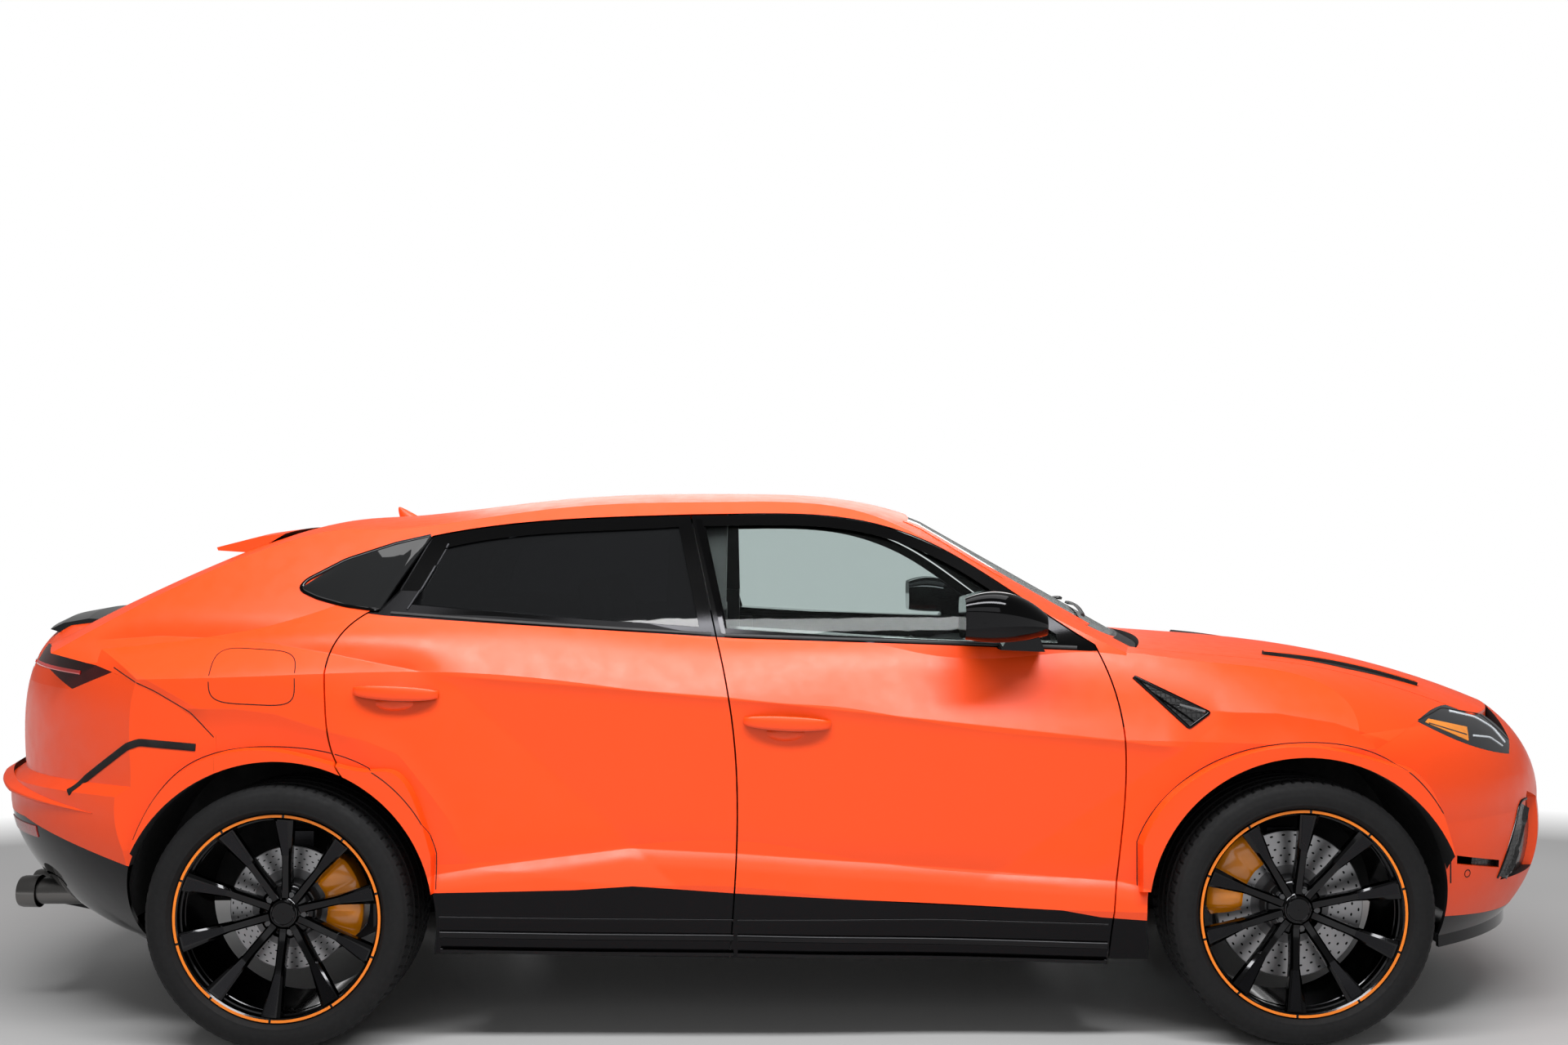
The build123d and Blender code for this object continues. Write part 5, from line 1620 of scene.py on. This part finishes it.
    def handles(self) -> None:
        """Door pulls: a bar bowed out from the skin over a rounded swelling."""
        for door, x0, x1, z0, z1 in (
            ("rear", -1.226, -0.985, 1.055, 1.043), ("front", -0.088, 0.160, 0.962, 0.950)
        ):
            body = f"door_{door}_{self.side.word}_body"
            t = np.linspace(0, 1, 40)
            flat = np.stack([x0 + (x1 - x0) * t, z0 + (z1 - z0) * t], -1)
            path, normal = self.skin.beside(flat, self.side)
            bow = np.clip(np.sin(math.pi * t), 0, 1) ** 0.45
            centre = path + smooth_normals(normal) * (0.004 + 0.020 * bow[:, None])
            size = (
                0.35 + 0.65 * np.clip(np.sin(math.pi * np.clip(t, 0.02, 0.98)), 0, 1) ** 0.4
            )[:, None, None]
            shape = round_bar(0.044, 0.018, 16, 2.6)[None] * size
            bar = outward(surface(
                f"handle_{door}_{self.side.word}", swept(centre, shape, smooth_normals(normal)),
                close_cols=True, caps=True,
            ))
            self.put(bar, body, "plain_paint", "body_paint")
            self.cup(f"handle_cup_{door}", (x0 + x1) / 2 - 0.005, (z0 + z1) / 2 - 0.030, body)

    def cup(self, name: str, x: float, z: float, body: str) -> None:
        """Rounded swelling under a door pull: height falls with the cube of the distance from its middle.

        Args:
            name: Name of the piece.
            x: Middle along the car.
            z: Height of the middle.
            body: Door body.
        """
        r = np.linspace(0, 1, 10)[:, None]
        turn = np.linspace(0, 2 * math.pi, 41)[None]
        flat = np.stack([x + 0.056 * r * np.cos(turn), z + 0.024 * r * np.sin(turn)], -1)
        points, normal = self.skin.beside(flat, self.side)
        height = 0.014 * (1 - r ** 3) + 0.0004
        piece = surface(f"{name}_{self.side.word}", points + normal * height[..., None])
        self.put(outward(piece, (0, self.side.value, 0)), body, "plain_paint", "body_paint")

    def fuel_flap(self) -> None:
        """Shut line of the filler flap, a rounded rectangle."""
        turn = np.linspace(0, 2 * math.pi, 121)
        c, s = np.cos(turn), np.sin(turn)
        x = -1.5285 + 0.1265 * np.sign(c) * np.abs(c) ** 0.45
        z = 1.0945 + 0.079 * np.sign(s) * np.abs(s) ** 0.45 - 0.05 * (x + 1.5285)
        path, normal = self.skin.beside(np.stack([x, z], -1), self.side)
        self.put(strip("flap_line", path, normal, self.seam, 0.0008), "chassis", "shut_line", "black_trim")

    def arch_seams(self) -> None:
        """Shut lines round the wheel arch flares, on their outline: upright, over the top, upright."""
        for name, axle, ahead, behind in (("front", 1.546, 0.442, 0.492), ("rear", -1.457, 0.470, 0.432)):
            side, low = 0.605 + 0.5 * self.flare, 0.475
            back, fore = axle - behind - self.flare, axle + ahead + self.flare
            hips = [
                (axle + x, self.hub_z + z + self.flare)
                for x, z in ((-0.265, 0.450), (0.0, 0.506), (0.265, 0.445))
            ]
            arc = through([(back, side), *hips, (fore, side - 0.025)], (0.35, 1.0), (0.25, -1.0), 120)
            back, fore = (back, low), (fore, low)
            whole = np.concatenate(
                [along([back, tuple(arc[0])], 12), arc[1:], along([tuple(arc[-1]), fore], 12)[1:]]
            )
            if name == "front":
                self.seam_line("arch_seam_front", whole[whole[:, 0] < 1.99], "chassis")
            else:
                quarter = whole[:, 0] < self.door_edge(whole[:, 1])
                self.seam_line("arch_seam_rear", whole[quarter & (whole[:, 1] > 0.62)], "chassis")
                self.seam_line("arch_seam_door", whole[~quarter], f"door_rear_{self.side.word}_body")

    def door_edge(self, z: np.ndarray) -> np.ndarray:
        """Rear door's shut line as x over z."""
        return np.interp(z, [0.20, 0.80, 0.880, 1.040], [-1.02, -1.252, -1.294, -1.312])

    def seam_line(self, name: str, flat: np.ndarray, body: str) -> None:
        """Thin dark line along (x, z) points."""
        path, normal = self.skin.beside(flat, self.side)
        self.put(
            strip(f"{name}_{self.side.word}", path, normal, self.seam, 0.0008), body, "shut_line",
            "black_trim",
        )

    def vent(self) -> None:
        """Three-cornered outlet behind the front wheel: mesh in a black frame, with a bright blade."""
        a, b, c = (1.062, 1.082), (1.276, 0.978), (1.212, 0.936)
        self.put(
            self.plate("vent_mesh", [a, c], [(1.064, 1.083), b], 0.0015, 30, 16), "chassis", "vent_mesh",
            "black_trim",
        )
        frame_line = self.line("vent_frame", [a, b, c, (1.060, 1.081)], 0.010, 0.005, 120, 1)
        self.put(frame_line, "chassis", "gloss_black")
        self.put(
            self.line("vent_blade", [(1.188, 1.000), (1.262, 0.980)], 0.010, 0.008, 14, 1), "chassis",
            "lamp_chrome", "black_trim",
        )
        self.put(
            self.line("vent_spine", [(1.120, 1.030), (1.225, 0.955)], 0.006, 0.005, 14, 1), "chassis",
            "gloss_black",
        )

    def skirts(self) -> None:
        """Black blades along the foot of each door: a ledge, a foot and a thin top line."""
        runs = (
            (
                f"door_rear_{self.side.word}_body", "rear",
                [(-0.985, 0.338), (-0.560, 0.330), (-0.124, 0.326)],
            ),
            (
                f"door_front_{self.side.word}_body", "front",
                [(-0.112, 0.325), (0.450, 0.312), (0.972, 0.298)],
            ),
        )
        for body, word, points in runs:
            self.put(self.line(f"skirt_ledge_{word}", points, 0.020, 0.009), body, "gloss_black")
            low = [(x, z - 0.048) for x, z in points]
            self.put(self.line(f"skirt_foot_{word}", low, 0.016, 0.012), body, "gloss_black")
            high = [(x, z + 0.052 + 0.012 * (x > 0)) for x, z in points]
            self.put(self.line(f"skirt_top_{word}", high, 0.006, 0.003), body, "gloss_black")


@dataclass
class Nose:
    """Hood slits, lamp details, bumper slots and the wiper arms."""

    skin: Skin
    looks: dict[str, bpy.types.Material]

    def build(self) -> None:
        """Makes both sides."""
        for side in Side:
            self.slit(side)
            self.lamp(side)
            self.fang(side)
            self.wiper(side)

    def put(self, piece: bpy.types.Object, body: str, look: str, slot: str) -> bpy.types.Object:
        """Dresses a piece of the nose."""
        return place(piece, body, self.looks[look], slot)

    def slit(self, side: Side) -> None:
        """Long dark outlet in the hood with a thin lip.

        Args:
            side: Side of the car.
        """
        inner = [(x, side.value * y) for x, y in ((1.545, 0.600), (1.80, 0.575), (2.045, 0.555))]
        outer = [(x, side.value * y) for x, y in ((1.535, 0.606), (1.80, 0.622), (2.050, 0.560))]
        points, normal = self.skin.above(between(inner, outer, 40, 8))
        self.put(
            patch(f"hood_slit_{side.word}", points, normal, 0.0012), "hood_body", "shut_line", "black_trim"
        )
        path, normal = self.skin.above(eased(inner, 40))
        self.put(
            strip(f"hood_slit_wall_{side.word}", path, normal, 0.010, 0.010), "hood_body", "shut_line",
            "black_trim",
        )
        path, normal = self.skin.above(eased([(x, y - side.value * 0.012) for x, y in inner], 40))
        self.put(
            strip(f"hood_slit_lip_{side.word}", path, normal, 0.016, 0.012), "hood_body", "plain_paint",
            "body_paint",
        )

    def lamp(self, side: Side) -> None:
        """Lamp face: two light blades, an amber wedge low at the rear with a dark web, a dark upper edge.

        Args:
            side: Side of the car.
        """

        def on_side(flat: np.ndarray) -> tuple[np.ndarray, np.ndarray]:
            """Points and normals on this side of the car."""
            return self.skin.beside(flat, side)

        path, normal = on_side(eased([(2.100, 0.950), (2.200, 0.926), (2.262, 0.890), (2.296, 0.846)], 30))
        self.put(
            strip(f"lamp_blade_{side.word}", path, normal, 0.010, 0.003), "chassis", "lamp_light",
            "lamp_lens",
        )
        path, normal = on_side(eased([(2.150, 0.880), (2.225, 0.868), (2.275, 0.838)], 30))
        self.put(
            strip(f"lamp_blade_low_{side.word}", path, normal, 0.006, 0.003), "chassis", "lamp_light",
            "lamp_lens",
        )
        points, normal = on_side(
            between([(1.972, 0.930), (2.120, 0.868)], [(1.990, 0.938), (2.135, 0.905)], 20, 6)
        )
        self.put(
            patch(f"lamp_amber_{side.word}", points, normal, 0.0015), "chassis", "lamp_amber", "lamp_lens"
        )
        path, normal = on_side(eased([(1.985, 0.926), (2.120, 0.885)], 16))
        self.put(
            strip(f"lamp_web_{side.word}", path, normal, 0.005, 0.003), "chassis", "lamp_inside",
            "lamp_lens",
        )
        path, normal = on_side(eased([(1.950, 0.938), (2.071, 0.962), (2.236, 0.930), (2.322, 0.850)], 50))
        self.put(
            strip(f"lamp_edge_{side.word}", path, normal, 0.004, 0.001), "chassis", "shut_line",
            "black_trim",
        )

    def fang(self, side: Side) -> None:
        """Slanted black slot of the bumper corner with a polished edge, and a round sensor behind it.

        Args:
            side: Side of the car.
        """
        points, normal = self.skin.beside(
            between([(2.222, 0.450), (2.330, 0.660)], [(2.262, 0.432), (2.366, 0.640)], 26, 6), side)
        self.put(
            patch(f"corner_slot_{side.word}", points, normal, 0.0015), "chassis", "vent_mesh", "black_trim"
        )
        path, normal = self.skin.beside(eased([(2.214, 0.444), (2.326, 0.668), (2.362, 0.668)], 30), side)
        self.put(
            strip(f"corner_slot_edge_{side.word}", path, normal, 0.008, 0.004), "chassis", "gloss_black",
            "black_trim",
        )
        turn = np.linspace(0, 2 * math.pi, 25)[None]
        flat = np.stack([2.080 + 0.011 * np.cos(turn), 0.480 + 0.011 * np.sin(turn)], -1)
        path, normal = self.skin.beside(flat[0], side)
        self.put(
            strip(f"sensor_front_{side.word}", path, normal, 0.003, 0.001), "chassis", "shut_line",
            "black_trim",
        )

    def wiper(self, side: Side) -> None:
        """Wiper arm and blade lying at the foot of the windscreen.

        Args:
            side: Side of the car.
        """
        y0, y1 = (0.52, -0.10) if side is Side.LEFT else (-0.02, -0.60)
        y = np.linspace(y0, y1, 30)
        flat = np.stack([1.02 - 0.05 * y ** 2 - 0.035 * np.linspace(0, 1, 30), y], -1)
        path, normal = self.skin.above(flat)
        bar = strip(f"wiper_{side.word}", path + normal * 0.012, normal, 0.012, 0.006)
        self.put(bar, "chassis", "black_trim", "black_trim")


@dataclass
class Tail:
    """Bumper seams and slits, lip, reflectors, lamp blades, pipe ends, diffuser fins and the roof fin."""

    skin: Skin
    looks: dict[str, bpy.types.Material]
    centre_x: float = -1.3

    def build(self) -> None:
        """Makes the tail pieces."""
        for side in Side:
            self.slit(side)
            self.lamp(side)
            self.reflector(side)
            self.lip(side)
            self.pipes(side)
        self.fins()
        self.roof_fin()
        self.light_strip()

    def put(self, piece: bpy.types.Object, body: str, look: str, slot: str) -> bpy.types.Object:
        """Dresses a piece of the tail."""
        return place(piece, body, self.looks[look], slot)

    def slit(self, side: Side) -> None:
        """Bumper seam from the lamp to the wheel arch, and the bent black outlet under it.

        Args:
            side: Side of the car.
        """
        path, normal = self.skin.beside(
            eased([(-1.960, 1.120), (-1.815, 1.055), (-1.709, 0.993), (-1.640, 0.920)], 50), side
        )
        self.put(
            strip(f"bumper_seam_{side.word}", path, normal, 0.0028, 0.0008), "chassis", "shut_line",
            "black_trim",
        )
        path, normal = self.skin.beside(
            eased(
                [(-2.120, 0.742), (-2.070, 0.780), (-1.900, 0.892), (-1.862, 0.905), (-1.694, 0.890)], 60, 1
            ),
            side,
        )
        self.put(
            strip(f"rear_slit_{side.word}", path, normal, 0.022, 0.003), "chassis", "shut_line",
            "black_trim",
        )

    def lamp(self, side: Side) -> None:
        """Lit blade of the rear lamp.

        Args:
            side: Side of the car.
        """
        turns = np.linspace(134, 152, 24)
        z = np.interp(turns, [134, 152], [1.098, 1.112])
        path, normal = self.skin.around(self.centre_x, turns, z, side)
        self.put(
            strip(f"tail_blade_{side.word}", path, normal, 0.012, 0.003), "chassis", "tail_light",
            "tail_lens",
        )

    def reflector(self, side: Side) -> None:
        """Low red reflector.

        Args:
            side: Side of the car.
        """
        turns = np.linspace(143, 156, 14)[:, None]
        z = np.linspace(0.585, 0.620, 4)[None]
        points, normal = self.skin.around(self.centre_x, turns, z + 0 * turns, side)
        self.put(
            patch(f"reflector_{side.word}", points, normal, 0.003), "chassis", "reflector", "tail_lens"
        )

    def lip(self, side: Side) -> None:
        """Shelf round the bumper: a wedge that grows from nothing on the side to its depth at the back.

        Args:
            side: Side of the car.
        """
        turns = np.linspace(128, 180, 60)
        z = np.interp(turns, [128, 150, 165, 180], [0.690, 0.720, 0.752, 0.760])
        path, normal = self.skin.around(self.centre_x, turns, z, side)
        flat = smooth_normals(normal * (1, 1, 0), 6)
        flat /= np.linalg.norm(flat, axis=1, keepdims=True)
        grow = (np.clip((turns - 128) / 22, 0.05, 1) * 0.026)[:, None, None]
        section = np.array([(-0.9, -0.2), (-0.25, 0.9), (0.0, 1.0), (0.2, 0.9), (0.9, -0.2)])[None] * grow
        piece = outward(surface(
            f"tail_lip_{side.word}", swept(path, section, flat), close_cols=True, caps=True, sharp=30
        ))
        self.put(piece, "chassis", "plain_paint", "body_paint")

    def pipes(self, side: Side) -> None:
        """Rounded finishers over the two pipe ends."""
        low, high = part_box("exhaust")
        turn = np.linspace(0, 2 * math.pi, 49)[:, None]
        section = np.array(
            [(0.0, 0.047), (0.010, 0.050), (0.060, 0.051), (0.060, 0.047), (0.012, 0.043), (0.0, 0.044)]
        )
        for k in range(2):
            x = low.x - 0.004 + section[None, :, 0] + 0 * turn
            y = side.value * (abs(high.y) - 0.042 - 0.10 * k) + section[None, :, 1] * np.cos(turn)
            z = (low.z + high.z) / 2 + section[None, :, 1] * np.sin(turn)
            points = np.stack([x, y, z], -1)
            piece = outward(surface(f"pipe_end_{side.word}_{k}", points, close_cols=True))
            self.put(piece, "chassis", "exhaust_metal", "exhaust_metal")

    def fins(self) -> None:
        """Upright diffuser fins under the tail."""
        parts = []
        for y in (-0.30, -0.18, -0.06, 0.06, 0.18, 0.30):
            t = np.linspace(0, 1, 8)
            path = np.stack([-2.46 + 0.36 * t, np.full(8, y), 0.330 - 0.075 * t], -1)
            fin = swept(path, round_bar(0.008, 0.070, 8, 6), np.array([0.0, 0.0, 1.0]))
            parts.append(outward(surface(f"fin_{len(parts)}", fin, close_cols=True, caps=True)))
        self.put(joined("diffuser_fins", parts), "chassis", "gloss_black", "gloss_black")

    def roof_fin(self) -> None:
        """Aerial fin: a leaning blade whose section tapers to its tip."""
        t = np.linspace(0, 1, 12)[:, None]
        turn = np.arange(24)[None] * 2 * math.pi / 24
        length = 0.085 * (1 - t) ** 0.8 + 0.006
        x = -1.285 - 0.050 * t + length * np.cos(turn) * 0.5
        y = 0.016 * (1 - t) ** 0.7 * np.sin(turn) + 0.0015 * np.sin(turn)
        top, _ = self.skin.above(np.array([[-1.30, 0.0]]))
        z = top[0, 2] - 0.012 + 0.050 * t + 0 * turn
        piece = outward(
            surface("roof_fin", np.stack(np.broadcast_arrays(x, y, z), -1), close_cols=True, caps=True)
        )
        self.put(piece, "chassis", "plain_paint", "body_paint")

    def light_strip(self) -> None:
        """Lit line along the lamp bar."""
        y = np.linspace(-0.50, 0.50, 60)
        origin = np.stack([np.full(60, -1.6), y, np.full(60, 1.110)], -1)
        path, normal = self.skin.cast(origin, (-1.0, 0.0, 0.0))
        self.put(
            strip("light_line", path, normal, 0.008, 0.002), "tailgate_body", "tail_light", "tail_lens"
        )


# --------------------------------------------------------------------------- cabin


@dataclass
class Cabin:
    """Padded seats and screens inside the car."""

    looks: dict[str, bpy.types.Material]
    seat_y: float = 0.3825
    power: float = 0.42

    def build(self) -> None:
        """Makes every seat and the screens."""
        for side in Side:
            self.front_seat(side)
            self.rear_seat(side)
        self.rear_middle()
        self.screens()

    def pad(
        self, name: str, centre: Sequence[float], size: Sequence[float], lean: float, channels: int,
        node: str = "",
    ) -> bpy.types.Object:
        """Cushion: a squared-off ball whose edges pull in and whose face dips along sewn channels.

        With t the turn about the long way and s the swing across, length = |cos t| ** p |cos s| ** p,
        thickness = |sin t| ** p |cos s| ** p and width = |sin s| ** p, each with its sign. The width narrows
        between the corners, and the thickness sinks by a small share wherever a channel line runs.

        Args:
            name: Piece name.
            centre: Middle of the cushion.
            size: Length, width and thickness.
            lean: Turn about y in degrees, from lying to upright.
            channels: Number of sewn lines across the face.
            node: Structure node that the pad stands for.

        Returns:
            The padded piece.
        """
        t = np.arange(56)[None] * 2 * math.pi / 56
        s = np.linspace(-math.pi / 2 + 0.03, math.pi / 2 - 0.03, 34)[:, None]

        def squared(value: np.ndarray) -> np.ndarray:
            """The value's size to the power p, with its sign."""
            return np.sign(value) * np.abs(value) ** self.power

        length = squared(np.cos(t)) * squared(np.cos(s))
        thick = squared(np.sin(t)) * squared(np.cos(s))
        width = squared(np.sin(s)) + 0 * t
        width = width * (1 - 0.035 * (1 - length ** 2))
        length = length * (1 - 0.025 * (1 - width ** 2))
        wave = np.abs(np.sin(math.pi * (length * 0.5 + 0.5) * (channels + 1)))
        face = np.clip(thick, 0, 1)
        thick = thick * (
            1 + 0.16 * face * (1 - length ** 2) * (1 - width ** 2)
        ) - 0.10 * face * (1 - wave) ** 6
        thick = thick - 0.10 * face * np.exp(-((np.abs(width) - 0.62) / 0.035) ** 2)
        a, b, c = length * size[0] / 2, width * size[1] / 2, thick * size[2] / 2
        turn = math.radians(lean)
        x = centre[0] + a * math.cos(turn) - c * math.sin(turn)
        z = centre[2] + a * math.sin(turn) + c * math.cos(turn)
        piece = outward(
            surface(name, np.stack([x, centre[1] + b, z], -1), close_cols=True, caps=True, sharp=60)
        )
        place(piece, "chassis", self.looks["seat_leather"], "seat_leather")
        if node:
            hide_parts(node)
        return piece

    def piping(self, name: str, centre: Sequence[float], size: Sequence[float], lean: float) -> None:
        """Thin bright cord sewn round the face of a back cushion.

        Args:
            name: Name of the piece.
            centre: Middle of the cushion.
            size: Size of the cushion.
            lean: Its lean in degrees.
        """
        turn = np.linspace(0, 2 * math.pi, 81)
        a = np.sign(np.cos(turn)) * np.abs(np.cos(turn)) ** 0.4 * size[0] * 0.47
        b = np.sign(np.sin(turn)) * np.abs(np.sin(turn)) ** 0.4 * size[1] * 0.47
        tilt = math.radians(lean)
        rise = size[2] * 0.36
        path = np.stack([centre[0] + a * math.cos(tilt) - rise * math.sin(tilt), centre[1] + b,
                         centre[2] + a * math.sin(tilt) + rise * math.cos(tilt)], -1)
        up = np.array([-math.sin(tilt), 0.0, math.cos(tilt)])
        cord = outward(surface(name, swept(path, ring(0.003, 8), up), close_cols=True))
        place(cord, "chassis", self.looks["seat_piping"], "seat_leather")

    def front_seat(self, side: Side) -> None:
        """Sports seat: plinth, cushion, back with bolsters and a headrest.

        Args:
            side: Side of the car.
        """
        y, word = side.value * self.seat_y, side.word
        self.pad(f"seat_{word}_cushion", (-0.085, y, 0.575), (0.50, 0.42, 0.12), 5, 3, f"seat_{word}")
        self.pad(f"seat_{word}_back", (-0.475, y, 0.905), (0.60, 0.40, 0.10), 109, 5)
        self.piping(f"seat_{word}_piping", (-0.475, y, 0.905), (0.60, 0.40, 0.10), 109)
        self.pad(f"seat_{word}_headrest", (-0.590, y, 1.285), (0.17, 0.25, 0.08), 104, 0)
        for end in (-1, 1):
            self.pad(
                f"seat_{word}_thigh_{end + 1}", (-0.10, y + end * 0.222, 0.590), (0.46, 0.075, 0.12), 6, 0
            )
            self.pad(
                f"seat_{word}_wing_{end + 1}", (-0.470, y + end * 0.212, 0.93), (0.50, 0.075, 0.13), 109, 0
            )
        z = np.array([0.3304, 0.36, 0.48, 0.525])[:, None, None]
        outline = round_bar(0.50, 0.44, 36, 5)[None]
        scale = np.array([0.90, 0.92, 1.0, 0.98])[:, None, None]
        flat = outline * scale
        points = np.concatenate([flat[..., :1] - 0.10, flat[..., 1:] + y, z + 0 * flat[..., :1]], -1)
        plinth = outward(surface(f"seat_{word}_plinth", points, close_cols=True, caps=True))
        place(plinth, "chassis", self.looks["interior_trim"], "interior_trim")

    def rear_seat(self, side: Side) -> None:
        """Outer rear place: cushion, back and headrest.

        Args:
            side: Side of the car.
        """
        y, word = side.value * 0.345, side.word
        self.pad(f"rear_{word}_cushion", (-0.985, y, 0.62), (0.45, 0.42, 0.12), 4, 3, "rear_seat")
        self.pad(f"rear_{word}_back", (-1.315, y, 0.955), (0.58, 0.42, 0.10), 109, 5)
        self.piping(f"rear_{word}_piping", (-1.315, y, 0.955), (0.58, 0.42, 0.10), 109)
        self.pad(f"rear_{word}_headrest", (-1.425, y, 1.285), (0.13, 0.24, 0.07), 104, 0)

    def rear_middle(self) -> None:
        """Middle rear place and the bench under all three."""
        self.pad("rear_middle_cushion", (-0.985, 0.0, 0.612), (0.42, 0.24, 0.11), 4, 2)
        self.pad("rear_middle_back", (-1.315, 0.0, 0.940), (0.54, 0.24, 0.09), 109, 3)
        x = np.array([-1.19, -1.19, -0.79, -0.775])
        z = np.array([0.532, 0.575, 0.600, 0.532])
        y = np.linspace(-0.555, 0.555, 12)[:, None]
        points = np.stack([x[None] + 0 * y, y + 0 * x[None], z[None] + 0 * y], -1)
        bench = outward(surface("rear_bench", points, close_cols=True, caps=True, sharp=30))
        place(bench, "chassis", self.looks["interior_trim"], "interior_trim")

    def screens(self) -> None:
        """Instrument and middle screens: thin dark plates with rounded corners."""
        for name, y, z, wide, high, x in (
            ("dials", self.seat_y, 1.085, 0.30, 0.10, 0.73), ("screen_high", 0.0, 1.03, 0.27, 0.12, 0.70)
        ):
            flat = round_bar(wide, high, 40, 6)
            layers = np.array([0.0, 0.004, 0.012])[:, None]
            grow = np.array([0.97, 1.0, 1.0])[:, None]
            points = np.stack(
                [
                    x + layers + 0 * flat[None, :, 0], y + flat[None, :, 0] * grow,
                    z + flat[None, :, 1] * grow,
                ],
                -1,
            )
            plate = outward(surface(name, points, close_cols=True, caps=True, sharp=30))
            place(plate, "chassis", self.looks["gloss_black"], "interior_trim")


# --------------------------------------------------------------------------- main


def main() -> None:
    """Builds and dresses every sub-assembly in order."""
    logging.basicConfig(level=logging.INFO, format="%(name)s: %(message)s")
    looks = finishes()
    dress_nodes(looks)
    Studio().build()
    for axle in ("front", "rear"):
        for side in Side:
            Wheel(axle, side, looks).build()
    skin = Skin(SKIN_NODES.split())
    for side in Side:
        Flank(side, skin, looks).build()
    Nose(skin, looks).build()
    Tail(skin, looks).build()
    Cabin(looks).build()


if __name__ == "__main__":
    main()
